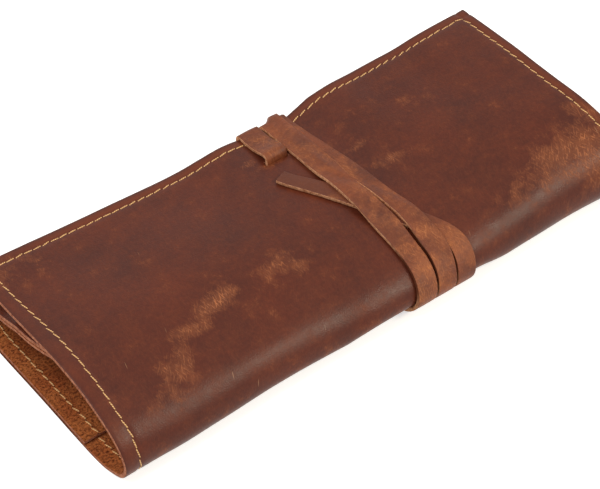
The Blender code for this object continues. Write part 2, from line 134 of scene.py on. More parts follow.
# The strap's route: turns round the roll, place along X in strap pitches, layers beneath.
strap_turns = [
    (0.0405, 0.00, 0), (0.190, 0.07, 0), (0.450, 0.60, 0), (0.500, 0.72, 0),
    (0.600, 1.27, 0), (0.655, 1.30, 0), (0.692, 1.26, 1), (0.760, 1.17, 1),
    (0.826, 1.12, 1), (0.880, 1.12, 1), (0.940, 1.14, 1), (1.000, 1.16, 1),
    (1.190, 1.09, 1), (1.250, 1.15, 0), (1.450, 1.59, 0), (1.500, 1.71, 0),
    (1.592, 2.27, 0), (1.621, 2.34, 1), (1.690, 2.34, 1), (1.715, 2.27, 1),
    (1.760, 2.10, 1), (1.800, 2.01, 1), (1.833, 1.94, 0), (1.875, 1.76, 0),
    (1.930, 1.62, 0), (2.000, 1.52, 0), (2.030, 1.58, 0), (2.095, 2.11, 0),
    (2.190, 2.13, 0), (2.450, 2.59, 0),
    (2.500, 2.72, 0), (2.600, 3.31, 0), (2.629, 3.27, 0), (2.758, 1.29, 0),
    (2.880, -0.69, 0),
]

# The strap was cut by hand: (turns, width), in mm. It tapers at its free end besides.
strap_cuts = [(0.04, 7.8), (0.6, 8.1), (1.0, 7.8), (1.5, 7.6), (1.66, 7.8), (1.73, 7.0)]
strap_cuts += [(1.80, 6.2), (2.0, 6.1), (2.2, 6.6), (2.5, 7.6), (2.64, 7.8), (2.88, 7.6)]

# The strap's root, from its hidden tab up through the slit and back over the flap's edge:
# (distance from the edge, height of its middle over the flap's grain face), in mm.
root_line = [
    (36.95, -2.55), (30, -2.55), (24, -2.55), (19, -2.5), (17.2, -2.1), (16.4, -1.0), (16.25, 0.3),
    (16.0, 1.5), (15.1, 2.3), (13.6, 2.35), (11.6, 1.95), (9.5, 1.5), (7, 1.2), (4, 1.2), (0, 1.2),
    (-8.3, 1.2),
]
TAB_WIDENING = 0.0062
TAB_FROM_EDGE = 0.02795
ROOT_WIDENING = 0.0009
ROOT_SHIFT = 0.0005
SLIT_HALF_LENGTH = 0.0048
SLIT_WAYS = (0.0154, 0.0173)

# A smooth line has this many steps between two given points.
CURVE_SAMPLES = 40
# The leather's directions at a place come from places this far to either side of it.
PROBE = 0.0004
# A stretch that is longer than whole steps by less than this share of one gets no extra step.
STEP_TOLERANCE = 0.01


# The camera stands where the photograph was taken from: on the left, in front and above.

PICTURE_WIDTH = 600
PICTURE_HEIGHT = 489
CAMERA_AZIMUTH = math.radians(-38.653)
CAMERA_ELEVATION = math.radians(45.024)
CAMERA_ROLL = math.radians(-0.246)
CAMERA_DISTANCE = 0.7678
FOCAL_PIXELS = 2211.02
AXIS_PIXEL = (309.34, 260.38)
SENSOR_WIDTH = 36
# The cross-section is shifted this far along Y, as in the solid model, to centre the roll.
SECTION_SHIFT = -0.001465


def set_camera():
    """Camera on the fitted line of sight; the small shift is the photograph's cropping."""
    bpy.ops.object.camera_add()
    camera = bpy.context.object
    camera.name = "photo_camera"
    aim = Matrix.Translation((0.0, SECTION_SHIFT, 0.0))
    turn = Matrix.Rotation(CAMERA_AZIMUTH, 4, "Z")
    tilt = Matrix.Rotation(math.pi / 2 - CAMERA_ELEVATION, 4, "X")
    roll = Matrix.Rotation(-CAMERA_ROLL, 4, "Z")
    back = Matrix.Translation((0.0, 0.0, CAMERA_DISTANCE))
    camera.matrix_world = aim @ turn @ tilt @ roll @ back
    camera.data.sensor_width = SENSOR_WIDTH
    camera.data.lens = FOCAL_PIXELS / PICTURE_WIDTH * SENSOR_WIDTH
    camera.data.shift_x = 0.5 - AXIS_PIXEL[0] / PICTURE_WIDTH
    camera.data.shift_y = (AXIS_PIXEL[1] - PICTURE_HEIGHT / 2) / PICTURE_WIDTH
    bpy.context.scene.camera = camera


set_camera()


# The roll's shape: every place on the leather comes from x and the way round the section.


def smooth_line(points):
    """A smooth line through the points."""
    points = np.array(points, float)
    line = np.vstack([2 * points[0] - points[1], points, 2 * points[-1] - points[-2]])
    t = np.arange(CURVE_SAMPLES)[:, None] / CURVE_SAMPLES
    spans = []
    for a, b, c, d in zip(line, line[1:], line[2:], line[3:]):
        square = 2 * a - 5 * b + 4 * c - d
        cube = 3 * b - a - 3 * c + d
        spans.append(0.5 * (2 * b + (c - a) * t + square * t**2 + cube * t**3))
    return np.vstack([*spans, points[-1]])


def read(line, at):
    """The second column of a line, read off at values of its first."""
    return np.interp(at, line[:, 0], line[:, 1])


def lengths_along(line):
    """How far along the line each of its points lies."""
    return np.concatenate([[0.0], np.cumsum(np.linalg.norm(np.diff(line, axis=0), axis=1))])


def smoothstep(share):
    """0 up to 0 and 1 from 1 on, with a smooth rise between."""
    share = np.clip(share, 0.0, 1.0)
    return share * share * (3 - 2 * share)


def ramp(value, start, reach):
    """0 up to the start, then smoothly up to 1 over the reach."""
    return smoothstep((value - start) / reach)


def hump(value, middle, half):
    """1 at the middle, falling smoothly to 0 half a width away."""
    return 1 - smoothstep(np.abs(value - middle) / half)


def unit(rows):
    """Each row as a direction of length 1."""
    return rows / np.linalg.norm(rows, axis=-1, keepdims=True)


section_size = np.array([ROLL_HALF_WIDTH, ROLL_HEIGHT])
cover_shares = flap_shares + front_fold_shares + base_shares + back_fold_shares + inner_shares
cover_line = smooth_line(np.array(cover_shares) * section_size)
cover_line[:, 1] = np.maximum(cover_line[:, 1], 0.0)
cover_ways = lengths_along(cover_line)
stretch_ends = np.cumsum([len(flap_shares), len(front_fold_shares), len(base_shares)])
BASE_START = cover_ways[stretch_ends[1] * CURVE_SAMPLES]
BASE_MIDDLE = cover_ways[(stretch_ends[1] + 1) * CURVE_SAMPLES]
BASE_END = cover_ways[(stretch_ends[2] - 1) * CURVE_SAMPLES]
INNER_START = cover_ways[(stretch_ends[2] + len(back_fold_shares)) * CURVE_SAMPLES]
COVER_END = cover_ways[-1]
POCKET_SETBACK = 0.005
POCKET_START = BASE_START + POCKET_SETBACK

crest_line = smooth_line(np.array(crest_shares) * (HALF_LENGTH, 1.0))
edge_rise_line = smooth_line(np.array(edge_rises) * MM)
edge_pull_line = np.array(edge_pulls) * MM
right_stray_line = smooth_line(np.array(right_strays) * MM)
left_stray_line = smooth_line(np.array(left_strays) * MM)
seam_wander_line = smooth_line(np.array(seam_wanders) * MM)
inner_rise_line = np.array(inner_rises) * MM

# The strip of leather that the strap lies over, in strap pitches from the root, and how far
# the strap holds the bottom off the table there.
STRAP_FIRST_PITCH, STRAP_LAST_PITCH = -0.57, 3.31
STRAP_LEFT = ROOT_X + STRAP_FIRST_PITCH * STRAP_PITCH - STRAP_WIDTH / 2
STRAP_RIGHT = ROOT_X + STRAP_LAST_PITCH * STRAP_PITCH + STRAP_WIDTH / 2
STRAP_LIFT = STRAP_THICKNESS + STRAP_GAP + PLY_GAP / 2
STRAP_LIFT_EASE = 0.016
# Where the flap begins, as shares of the height, and where its rise and the strap's pull set
# in, along Y and up the height.
FLAP_FROM_SHARE, FLAP_EASE_SHARE = 0.85, 0.10
RISE_FROM_Y, RISE_EASE = -0.010, 0.045
PULL_FROM_Y, PULL_EASE = 0.020, 0.022
PULL_FROM_SHARE, PULL_EASE_SHARE = 0.72, 0.28


def outside_strap(x):
    """How far x is from the strip of leather that the strap crosses."""
    return np.maximum(STRAP_LEFT - x, x - STRAP_RIGHT)


def carry(x, y, z):
    """A point of the cross-section, carried to the roll's own shape at x."""
    share = z / ROLL_HEIGHT
    lift = STRAP_LIFT * (1 - smoothstep(outside_strap(x) / STRAP_LIFT_EASE)) * (1 - share)
    on_flap = ramp(share, FLAP_FROM_SHARE, FLAP_EASE_SHARE)
    rise = read(edge_rise_line, x) * on_flap * ramp(y, RISE_FROM_Y, RISE_EASE)
    pull = read(edge_pull_line, x) * ramp(y, PULL_FROM_Y, PULL_EASE)
    pull = pull * ramp(share, PULL_FROM_SHARE, PULL_EASE_SHARE)
    height = z * read(crest_line, x) + lift + rise - PULL_DOWN * pull
    return np.stack([x, y + SECTION_SHIFT - PULL_IN * pull, height], axis=-1)


def on_section(x, way):
    """The grain face at x and `way`, with square ends and no unevenness."""
    way = np.clip(way, 0.0, COVER_END)
    y = np.interp(way, cover_ways, cover_line[:, 0])
    z = np.interp(way, cover_ways, cover_line[:, 1])
    return carry(x, y, z)


# The noise's random values to a side, and where among them x 0, way 0 lies.
NOISE_CELLS = 64
NOISE_START = (31.7, 7.3)


def soft_noise(x, way, size, seed):
    """Gentle random hills about `size` metres across, from -1 to 1."""
    grid = np.random.default_rng(seed).uniform(-1, 1, (NOISE_CELLS, NOISE_CELLS))
    u, v = x / size + NOISE_START[0], way / size + NOISE_START[1]
    column, row = np.floor(u).astype(int), np.floor(v).astype(int)
    s, t = smoothstep(u - column), smoothstep(v - row)
    columns = [column % NOISE_CELLS, (column + 1) % NOISE_CELLS]
    rows = [row % NOISE_CELLS, (row + 1) % NOISE_CELLS]
    low = grid[columns[0], rows[0]] * (1 - s) + grid[columns[1], rows[0]] * s
    high = grid[columns[0], rows[1]] * (1 - s) + grid[columns[1], rows[1]] * s
    return low * (1 - t) + high * t


# The thread draws the leather down in a narrow groove.
SEAM_SPREAD = 0.0007
SEAM_DIP = 0.00028
# The taut strap keeps the leather even beside it. Past the front fold the sheet lies flat.
EVEN_REACH = 0.012
UNEVEN_END, UNEVEN_EASE = 0.105, 0.02
# How far left of the roll's middle the inner panel starts to curl.
CURL_FROM, CURL_EASE = 0.045, 0.05
# How far from the roll's middle the crooked cuts set in, and how far into the leather the
# left seam's wander reaches.
STRAY_FROM, STRAY_EASE = 0.055, 0.05
WANDER_REACH = 15 * MM


def groove(distance):
    """1 under the thread, falling to 0 beside it."""
    return np.exp(-((distance / SEAM_SPREAD) ** 2))


def relief(x, way):
    """How far the grain face stands out from the plain section."""
    free = smoothstep(outside_strap(x) / EVEN_REACH)
    outer = 1 - ramp(way, UNEVEN_END, UNEVEN_EASE)
    rise = sum(height * soft_noise(x, way, size * MM, seed) for height, size, seed in hills) * MM
    for middle_x, middle_way, half_x, half_way, out in bulges:
        shape = hump(x, middle_x * MM, half_x * MM) * hump(way, middle_way * MM, half_way * MM)
        rise = rise + out * MM * shape
    curl = read(inner_rise_line, way) * ramp(-x, CURL_FROM, CURL_EASE)
    seam = np.maximum(groove(x - LEFT_SEAM_X), groove(x - RIGHT_SEAM_X))
    seam = np.maximum(seam, groove(way - SEAM_INSET) * free)
    seam = np.maximum(seam, groove(COVER_END - SEAM_INSET - way))
    return rise * outer * free + curl - SEAM_DIP * seam


def stray(x, way):
    """x with the crooked end cuts worked in."""
    right = read(right_stray_line, way) * ramp(x, STRAY_FROM, STRAY_EASE)
    left = read(left_stray_line, way) * ramp(-x, STRAY_FROM, STRAY_EASE)
    reach = [-HALF_LENGTH, LEFT_SEAM_X, LEFT_SEAM_X + WANDER_REACH]
    near_seam = np.interp(x, reach, [0.0, 1.0, 0.0])
    return x + right - left + read(seam_wander_line, way) * near_seam


def grain_point(x, way):
    """The grain face with its crooked end cuts, before its unevenness."""
    return on_section(stray(x, way), way)


def cover_frame(x, way, depth):
    """Place, way on, way across and way out at x and `way`, this deep under the grain face."""
    along = unit(grain_point(x, way + PROBE) - grain_point(x, way - PROBE))
    across = unit(grain_point(x + PROBE, way) - grain_point(x - PROBE, way))
    outward = unit(np.cross(along, across))
    place = grain_point(x, way) + outward * (relief(x, way) - depth)[..., None]
    return place, along, across, outward


def stops(values, pitch):
    """Steps that pass through every value, no further than a pitch apart."""
    line = [values[0]]
    for start, end in zip(values, values[1:]):
        count = max(1, math.ceil((end - start) / pitch - STEP_TOLERANCE))
        line += list(np.linspace(start, end, count + 1)[1:])
    return np.array(line)


# Making pieces.

EASED_ANGLE = math.radians(60)
SMOOTH_ANGLE = math.radians(50)
# The halves of the cover meet in the base. Of what lies past there, only the base is this low.
BASE_BELOW = 4 * MM


def deselect():
    bpy.ops.object.select_all(action="DESELECT")


def grid_piece(name, us, vs, places):
    """A grid sheet with vertices at places[row, column] and its flat sizes as its UV map."""
    deselect()
    bpy.ops.mesh.primitive_grid_add(x_subdivisions=len(us) - 1, y_subdivisions=len(vs) - 1, size=2)
    piece = bpy.context.object
    piece.name = name
    mesh = piece.data
    mesh.name = name
    flat = np.zeros(len(mesh.vertices) * 3)
    mesh.vertices.foreach_get("co", flat)
    flat = flat.reshape(-1, 3)
    column = np.rint((flat[:, 0] + 1) / 2 * (len(us) - 1)).astype(int)
    row = np.rint((flat[:, 1] + 1) / 2 * (len(vs) - 1)).astype(int)
    mesh.vertices.foreach_set("co", places[row, column].astype(np.float32).ravel())
    corners = np.zeros(len(mesh.loops), int)
    mesh.loops.foreach_get("vertex_index", corners)
    uv = np.stack([us[column][corners], vs[row][corners]], axis=1)
    mesh.uv_layers[0].name = "flat"
    mesh.uv_layers[0].data.foreach_set("uv", uv.astype(np.float32).ravel())
    mesh.update()
    return piece


def edit(operator, **settings):
    """One edit-mode step on the whole piece or on what is chosen in it."""
    bpy.ops.object.mode_set(mode="EDIT")
    operator(**settings)
    bpy.ops.object.mode_set(mode="OBJECT")


def take_out(piece, chosen):
    """Takes out the chosen faces."""
    bpy.ops.object.mode_set(mode="EDIT")
    bpy.ops.mesh.select_mode(type="FACE")
    bpy.ops.mesh.select_all(action="DESELECT")
    bpy.ops.object.mode_set(mode="OBJECT")
    piece.data.polygons.foreach_set("select", chosen)
    edit(bpy.ops.mesh.delete, type="FACE")


def face_middles(piece):
    """The middle of each face."""
    middles = np.zeros(len(piece.data.polygons) * 3)
    piece.data.polygons.foreach_get("center", middles)
    return middles.reshape(-1, 3)


def end_flush(piece, side):
    """Ends a half of the cover squarely at the middle of the base, where the halves meet."""
    middles = face_middles(piece)
    beyond = (middles[:, 1] - SECTION_SHIFT) * side > 0
    take_out(piece, beyond & (middles[:, 2] < BASE_BELOW))
    bpy.ops.object.mode_set(mode="EDIT")
    bpy.ops.mesh.select_mode(type="EDGE")
    bpy.ops.mesh.select_all(action="DESELECT")
    bpy.ops.mesh.select_non_manifold()
    bpy.ops.mesh.edge_face_add()
    bpy.ops.object.mode_set(mode="OBJECT")


def give_thickness(piece, thickness, edge_radius, materials):
    """Grain face, flesh face and cut edge, with the edge's corners eased."""
    for material in materials:
        piece.data.materials.append(material)
    solid = piece.modifiers.new("thickness", "SOLIDIFY")
    solid.thickness = thickness
    solid.offset = -1.0
    solid.use_even_offset = True
    solid.material_offset = 1
    solid.material_offset_rim = 2
    bpy.ops.object.modifier_apply(modifier=solid.name)
    eased = piece.modifiers.new("eased_edge", "BEVEL")
    eased.width = edge_radius
    eased.segments = 2
    eased.limit_method = "ANGLE"
    eased.angle_limit = EASED_ANGLE
    bpy.ops.object.modifier_apply(modifier=eased.name)


def smooth_faces():
    bpy.ops.object.shade_smooth_by_angle(angle=SMOOTH_ANGLE)


def leather_sheet(name, xs, ways, depth, thickness, edge_radius, materials, slit=None, flush=0):
    """A sheet that follows the cover, from its flat cut."""
    x, way = np.meshgrid(xs, ways)
    places = cover_frame(x, way, np.full(x.shape, depth))[0]
    sheet = grid_piece(name, xs, ways, places)
    edit(bpy.ops.mesh.flip_normals)
    if slit:
        corners = np.zeros(len(sheet.data.loops) * 2)
        sheet.data.uv_layers[0].data.foreach_get("uv", corners)
        middles = corners.reshape(-1, 4, 2).mean(axis=1)
        take_out(sheet, np.all((middles > slit[0]) & (middles < slit[1]), axis=1))
    give_thickness(sheet, thickness, edge_radius, materials)
    if flush:
        end_flush(sheet, flush)
    smooth_faces()
    return sheet


# Materials. Pattern sizes are in mm.

# The grain side: the wax's clouds, and the grain's own tone.
WAX_CLOUD, SMALL_CLOUD, GRAIN_TONE = 26, 7, 1.3
# Its pores. Real ones are too fine to show, so these are drawn about three times as coarse.
PORE = 0.85
# The fibres that rubbing raised: (turn in degrees, length), their width, and how far and over
# what length they bend. Real ones are too fine to show, so these are drawn several times as
# coarse.
fibre_runs = ((66, 3.6), (108, 2.6))
FIBRE_WIDTH = 0.42
FIBRE_SWING, FIBRE_BEND = 5.0, 12
# Nicks: how far apart they lie, how they are turned and how their cells are drawn out.
NICK_SPACING = 26
NICK_TURN = 74
NICK_STRETCH = (1.9, 0.16, 1.0)
# Its creases: as long as wide on the cover, and crosswise on the strap, from its bending.
COVER_CREASE = (4.0, 4.0, 1.0)
STRAP_CREASE = (3.5, 0.55, 1.0)
# The flesh side's nap, too fine to show and so drawn about three times as coarse, and its
# broad tones.
NAP = 0.9
SUEDE_CLOUD = 12
# The cut edge's fibres and the dust in the needle holes. Both are too fine to show at their
# real size, so they are drawn coarser.
EDGE_FIBRE = 1.1
HOLE_DUST = 0.6
# The thread's twist, in degrees, and the scale at which its bands lie 0.63 mm apart, as a
# real thread's strands do.
TWIST_TURN = 40
TWIST_SCALE = 0.5


def linear_colour(hex_colour):
    """An sRGB hex colour as the linear colour that a socket takes."""
    parts = [int(hex_colour[i : i + 2], 16) / 255 for i in (1, 3, 5)]
    linear = [p / 12.92 if p <= 0.04045 else ((p + 0.055) / 1.055) ** 2.4 for p in parts]
    return (*linear, 1.0)


def add_node(tree, kind, inputs=None, **settings):
    """A node with its settings; an input takes a value or another node's socket."""
    made = tree.nodes.new(kind)
    for name, value in settings.items():
        setattr(made, name, value)
    for name, value in (inputs or {}).items():
        if isinstance(value, bpy.types.NodeSocket):
            tree.links.new(value, made.inputs[name])
        else:
            made.inputs[name].default_value = value
    return made


def new_finish(name):
    material = bpy.data.materials.new(name)
    material.use_nodes = True
    return material, material.node_tree, material.node_tree.nodes["Principled BSDF"]


def in_millimetres(tree, rotation=0.0, stretch=(1.0, 1.0, 1.0)):
    """The flat cut's own place in millimetres, turned and stretched for one pattern."""
    flat = add_node(tree, "ShaderNodeUVMap", uv_map="flat").outputs[0]
    turn = {"Vector": flat, "Rotation": (0.0, 0.0, math.radians(rotation)), "Scale": (1 / MM,) * 3}
    turned = add_node(tree, "ShaderNodeMapping", turn).outputs[0]
    narrow = {"Vector": turned, "Scale": tuple(1 / s for s in stretch)}
    return add_node(tree, "ShaderNodeMapping", narrow).outputs[0]


def waxed_colour(tree, place, dark, main, warm):
    """The wax in broad clouds and small ones, and the grain's own tone over them."""
    settings = {"Vector": place, "Scale": 1 / WAX_CLOUD, "Detail": 4.0, "Roughness": 0.6}
    broad = add_node(tree, "ShaderNodeTexNoise", settings).outputs[0]
    settings = {"Vector": place, "Scale": 1 / SMALL_CLOUD, "Detail": 6.0, "Roughness": 0.68}
    cloud = add_node(tree, "ShaderNodeTexNoise", settings).outputs[0]
    settings = {"Vector": place, "Scale": 1 / GRAIN_TONE, "Detail": 4.0, "Roughness": 0.6}
    fine = add_node(tree, "ShaderNodeTexNoise", settings).outputs[0]
    settings = {"Value": broad, "From Min": 0.34, "From Max": 0.66}
    spread = add_node(tree, "ShaderNodeMapRange", settings).outputs[0]
    colour = {0: spread, 6: dark, 7: main}
    colour = add_node(tree, "ShaderNodeMix", colour, data_type="RGBA").outputs[2]
    settings = {"Value": cloud, "From Min": 0.45, "From Max": 0.8, "To Max": 0.55}
    blush = add_node(tree, "ShaderNodeMapRange", settings).outputs[0]
    colour = {0: blush, 6: colour, 7: warm}
    colour = add_node(tree, "ShaderNodeMix", colour, data_type="RGBA").outputs[2]
    settings = {"Value": fine, "From Min": 0.3, "From Max": 0.7, "To Min": 0.84, "To Max": 1.14}
    tone = add_node(tree, "ShaderNodeMapRange", settings).outputs[0]
    scaled = {0: colour, 1: tone}
    colour = add_node(tree, "ShaderNodeVectorMath", scaled, operation="MULTIPLY").outputs[0]
    return colour, cloud


def margin_light_and_shade(tree, colour, warm, dark):
    """The margin outside the seam: a lighter, warmer band of painted light from its pillowed
    shape, and dark at the very edge, partly painted shade and partly burnish.
    """
    light_shade_and_burnish = add_node(tree, "ShaderNodeAttribute", attribute_name="light_shade_and_burnish").outputs["Fac"]
    # The lighter, warmer band is painted light; the dark at the very edge is painted shade with
    # burnish.
    settings = {"Value": light_shade_and_burnish, "From Max": 1.0, "To Max": 0.75}
    raised = add_node(tree, "ShaderNodeMapRange", settings).outputs[0]
    colour = {0: raised, 6: colour, 7: warm}
    colour = add_node(tree, "ShaderNodeMix", colour, data_type="RGBA").outputs[2]
    settings = {"Value": light_shade_and_burnish, "From Max": -1.0, "To Max": 0.8}
    shade_and_burnish = add_node(tree, "ShaderNodeMapRange", settings).outputs[0]
    colour = {0: shade_and_burnish, 6: colour, 7: dark}
    return add_node(tree, "ShaderNodeMix", colour, data_type="RGBA").outputs[2]


def raised_fibres(tree, place):
    """The bristly lines of fibres that rubbing raised, bent this way and that."""
    settings = {"Vector": place, "Scale": 1 / FIBRE_BEND, "Detail": 1.0}
    bent = add_node(tree, "ShaderNodeTexNoise", settings).outputs["Color"]
    bent = {0: bent, 1: (FIBRE_SWING, FIBRE_SWING, 0.0), 2: place}
    bent = add_node(tree, "ShaderNodeVectorMath", bent, operation="MULTIPLY_ADD").outputs[0]
    strokes = []
    for rotation, length in fibre_runs:
        turned = {"Vector": bent, "Rotation": (0.0, 0.0, math.radians(rotation))}
        turned = add_node(tree, "ShaderNodeMapping", turned).outputs[0]
        along = {"Vector": turned, "Scale": (1 / length, 1 / FIBRE_WIDTH, 1.0)}
        along = add_node(tree, "ShaderNodeMapping", along).outputs[0]
        settings = {"Vector": along, "Scale": 1.0, "Detail": 2.0, "Roughness": 0.55}
        strokes.append(add_node(tree, "ShaderNodeTexNoise", settings).outputs[0])
    stroke = {0: strokes[0], 1: strokes[1]}
    stroke = add_node(tree, "ShaderNodeMath", stroke, operation="MAXIMUM").outputs[0]
    settings = {"Value": stroke, "From Min": 0.56, "From Max": 0.66}
    return add_node(tree, "ShaderNodeMapRange", settings).outputs[0]


def rubbed_amount(tree, cloud):
    """How strongly it was rubbed: ragged patches, strongest where it was handled."""
    rubbed = add_node(tree, "ShaderNodeAttribute", attribute_name="rubbed").outputs["Fac"]
    ragged = {0: cloud, 1: 1.7, 2: rubbed}
    ragged = add_node(tree, "ShaderNodeMath", ragged, operation="MULTIPLY_ADD").outputs[0]
    settings = {"Value": ragged, "From Min": 1.03, "From Max": 1.9, "To Min": 0.05}
    return add_node(tree, "ShaderNodeMapRange", settings).outputs[0]


def rubbed_tan(tree, colour, lines, patch, tan):
    """The tan that shows where it was rubbed, most on the raised fibres."""
    sharp = {0: patch, 1: lines}
    sharp = add_node(tree, "ShaderNodeMath", sharp, operation="MULTIPLY").outputs[0]
    soft = {0: patch, 1: 0.30}
    soft = add_node(tree, "ShaderNodeMath", soft, operation="MULTIPLY").outputs[0]
    amount = {0: sharp, 1: 0.8, 2: soft}
    amount = add_node(tree, "ShaderNodeMath", amount, operation="MULTIPLY_ADD").outputs[0]
    colour = {0: amount, 6: colour, 7: tan}
    return add_node(tree, "ShaderNodeMix", colour, data_type="RGBA").outputs[2]


def small_nicks(tree, colour, nick):
    """Short pale lines, a few to a hand's breadth."""
    nicked = in_millimetres(tree, NICK_TURN, NICK_STRETCH)
    settings = {"Vector": nicked, "Scale": 1 / NICK_SPACING, "Randomness": 1.0}
    cell = add_node(tree, "ShaderNodeTexVoronoi", settings).outputs["Distance"]
    settings = {"Value": cell, "From Min": 0.035, "From Max": 0.015, "To Max": 0.35}
    nicks = add_node(tree, "ShaderNodeMapRange", settings).outputs[0]
    colour = {0: nicks, 6: colour, 7: nick}
    return add_node(tree, "ShaderNodeMix", colour, data_type="RGBA").outputs[2]


def grain_relief(tree, place, lines, patch, crease_size, creasing):
    """The grain's pores and creases, with the raised fibres where it was rubbed."""
    settings = {"Vector": place, "Scale": 1 / PORE}
    pores = add_node(tree, "ShaderNodeTexVoronoi", settings, feature="DISTANCE_TO_EDGE").outputs[0]
    pore = add_node(tree, "ShaderNodeMapRange", {"Value": pores, "From Max": 0.3}).outputs[0]
    creased = in_millimetres(tree, 0, crease_size)
    settings = {"Vector": creased, "Scale": 1.0, "Detail": 5.0, "Roughness": 0.6}
    crease = add_node(tree, "ShaderNodeTexNoise", settings).outputs[0]
    pore = add_node(tree, "ShaderNodeMath", {0: pore, 1: 0.3}, operation="MULTIPLY").outputs[0]
    height = {0: crease, 1: creasing, 2: pore}
    height = add_node(tree, "ShaderNodeMath", height, operation="MULTIPLY_ADD").outputs[0]
    height = {0: lines, 1: patch, 2: height}
    height = add_node(tree, "ShaderNodeMath", height, operation="MULTIPLY_ADD").outputs[0]
    settings = {"Height": height, "Strength": 0.5, "Distance": 0.00014}
    return add_node(tree, "ShaderNodeBump", settings).outputs[0]


def pull_up_leather(name, hexes, crease_size, creasing, roughness):
    """Waxed pull-up cowhide: dark where the wax lies, tan where it was bent or rubbed."""
    material, tree, shader = new_finish(name)
    dark, main, warm, tan, nick = [linear_colour(h) for h in hexes]
    place = in_millimetres(tree)
    colour, cloud = waxed_colour(tree, place, dark, main, warm)
    colour = margin_light_and_shade(tree, colour, warm, dark)
    lines = raised_fibres(tree, place)
    patch = rubbed_amount(tree, cloud)
    colour = rubbed_tan(tree, colour, lines, patch, tan)
    colour = small_nicks(tree, colour, nick)
    tree.links.new(colour, shader.inputs["Base Color"])
    bump = grain_relief(tree, place, lines, patch, crease_size, creasing)
    tree.links.new(bump, shader.inputs["Normal"])
    # It is a little duller in the lighter clouds, where there is less wax.
    settings = {"Value": cloud, "From Min": 0.3, "From Max": 0.7}
    settings |= {"To Min": roughness - 0.05, "To Max": roughness + 0.1}
    gloss = add_node(tree, "ShaderNodeMapRange", settings).outputs[0]
    tree.links.new(gloss, shader.inputs["Roughness"])
    shader.inputs["IOR"].default_value = 1.46
    shader.inputs["Specular IOR Level"].default_value = 0.27
    return material


def split_suede(name, hexes):
    """The flesh side: short raised fibres, dark in the hollows, with no gloss at all."""
    material, tree, shader = new_finish(name)
    dark, main, light = [linear_colour(h) for h in hexes]
    place = in_millimetres(tree)
    settings = {"Vector": place, "Scale": 1 / NAP, "Detail": 6.0, "Roughness": 0.8}
    nap = add_node(tree, "ShaderNodeTexNoise", settings).outputs[0]
    settings = {"Vector": place, "Scale": 1 / SUEDE_CLOUD, "Detail": 3.0}
    broad = add_node(tree, "ShaderNodeTexNoise", settings).outputs[0]
    settings = {"Value": broad, "From Min": 0.3, "From Max": 0.7}
    tone = add_node(tree, "ShaderNodeMapRange", settings).outputs[0]
    colour = {0: tone, 6: main, 7: light}
    colour = add_node(tree, "ShaderNodeMix", colour, data_type="RGBA").outputs[2]
    settings = {"Value": nap, "From Min": 0.58, "From Max": 0.38}
    hollow = add_node(tree, "ShaderNodeMapRange", settings).outputs[0]
    colour = {0: hollow, 6: colour, 7: dark}
    colour = add_node(tree, "ShaderNodeMix", colour, data_type="RGBA").outputs[2]
    tree.links.new(colour, shader.inputs["Base Color"])
    settings = {"Height": nap, "Strength": 0.9, "Distance": 0.0005}
    bump = add_node(tree, "ShaderNodeBump", settings).outputs[0]
    tree.links.new(bump, shader.inputs["Normal"])
    shader.inputs["Roughness"].default_value = 0.95
    shader.inputs["Specular IOR Level"].default_value = 0.05
    shader.inputs["Sheen Weight"].default_value = 0.05
    shader.inputs["Sheen Roughness"].default_value = 0.5
    return material


def raw_edge(name, hexes):
    """The knife-cut edge: pale unwaxed fibres in fine layers, darkened by painted shade where it
    faces down under the roll and in the gaps between the strap's bands.
    """
    material, tree, shader = new_finish(name)
    shade_colour, dark, pale = [linear_colour(h) for h in hexes]
    place = add_node(tree, "ShaderNodeTexCoord").outputs["Object"]
    settings = {"Vector": place, "Scale": 1 / (EDGE_FIBRE * MM), "Detail": 5.0, "Roughness": 0.7}
    fibre = add_node(tree, "ShaderNodeTexNoise", settings).outputs[0]
    settings = {"Value": fibre, "From Min": 0.34, "From Max": 0.62}
    spread = add_node(tree, "ShaderNodeMapRange", settings).outputs[0]
    colour = {0: spread, 6: dark, 7: pale}
    colour = add_node(tree, "ShaderNodeMix", colour, data_type="RGBA").outputs[2]
    # Painted shade: the marked places are mixed toward the dark shade colour.
    painted_shade = add_node(tree, "ShaderNodeAttribute", attribute_name="painted_shade").outputs["Fac"]
    settings = {"Value": painted_shade, "From Min": 0.2, "From Max": 0.6}
    painted_shade = add_node(tree, "ShaderNodeMapRange", settings).outputs[0]
    colour = {0: painted_shade, 6: colour, 7: shade_colour}
    colour = add_node(tree, "ShaderNodeMix", colour, data_type="RGBA").outputs[2]
    tree.links.new(colour, shader.inputs["Base Color"])
    settings = {"Height": fibre, "Strength": 0.6, "Distance": 0.0002}
    bump = add_node(tree, "ShaderNodeBump", settings).outputs[0]
    tree.links.new(bump, shader.inputs["Normal"])
    shader.inputs["Roughness"].default_value = 0.9
    shader.inputs["Specular IOR Level"].default_value = 0.1
    return material


def waxed_thread(name, hexes):
    """Waxed polyester thread of three twisted strands; the twist shows as slanting bands."""
    material, tree, shader = new_finish(name)
    shade, gold = [linear_colour(h) for h in hexes]
    place = in_millimetres(tree, TWIST_TURN)
    settings = {"Vector": place, "Scale": TWIST_SCALE, "Distortion": 0.4}
    twist = add_node(tree, "ShaderNodeTexWave", settings).outputs["Fac"]
    colour = {0: twist, 6: shade, 7: gold}
    colour = add_node(tree, "ShaderNodeMix", colour, data_type="RGBA").outputs[2]
    tree.links.new(colour, shader.inputs["Base Color"])
    settings = {"Height": twist, "Strength": 0.6, "Distance": 0.00008}
    bump = add_node(tree, "ShaderNodeBump", settings).outputs[0]
    tree.links.new(bump, shader.inputs["Normal"])
    shader.inputs["Roughness"].default_value = 0.55
    return material


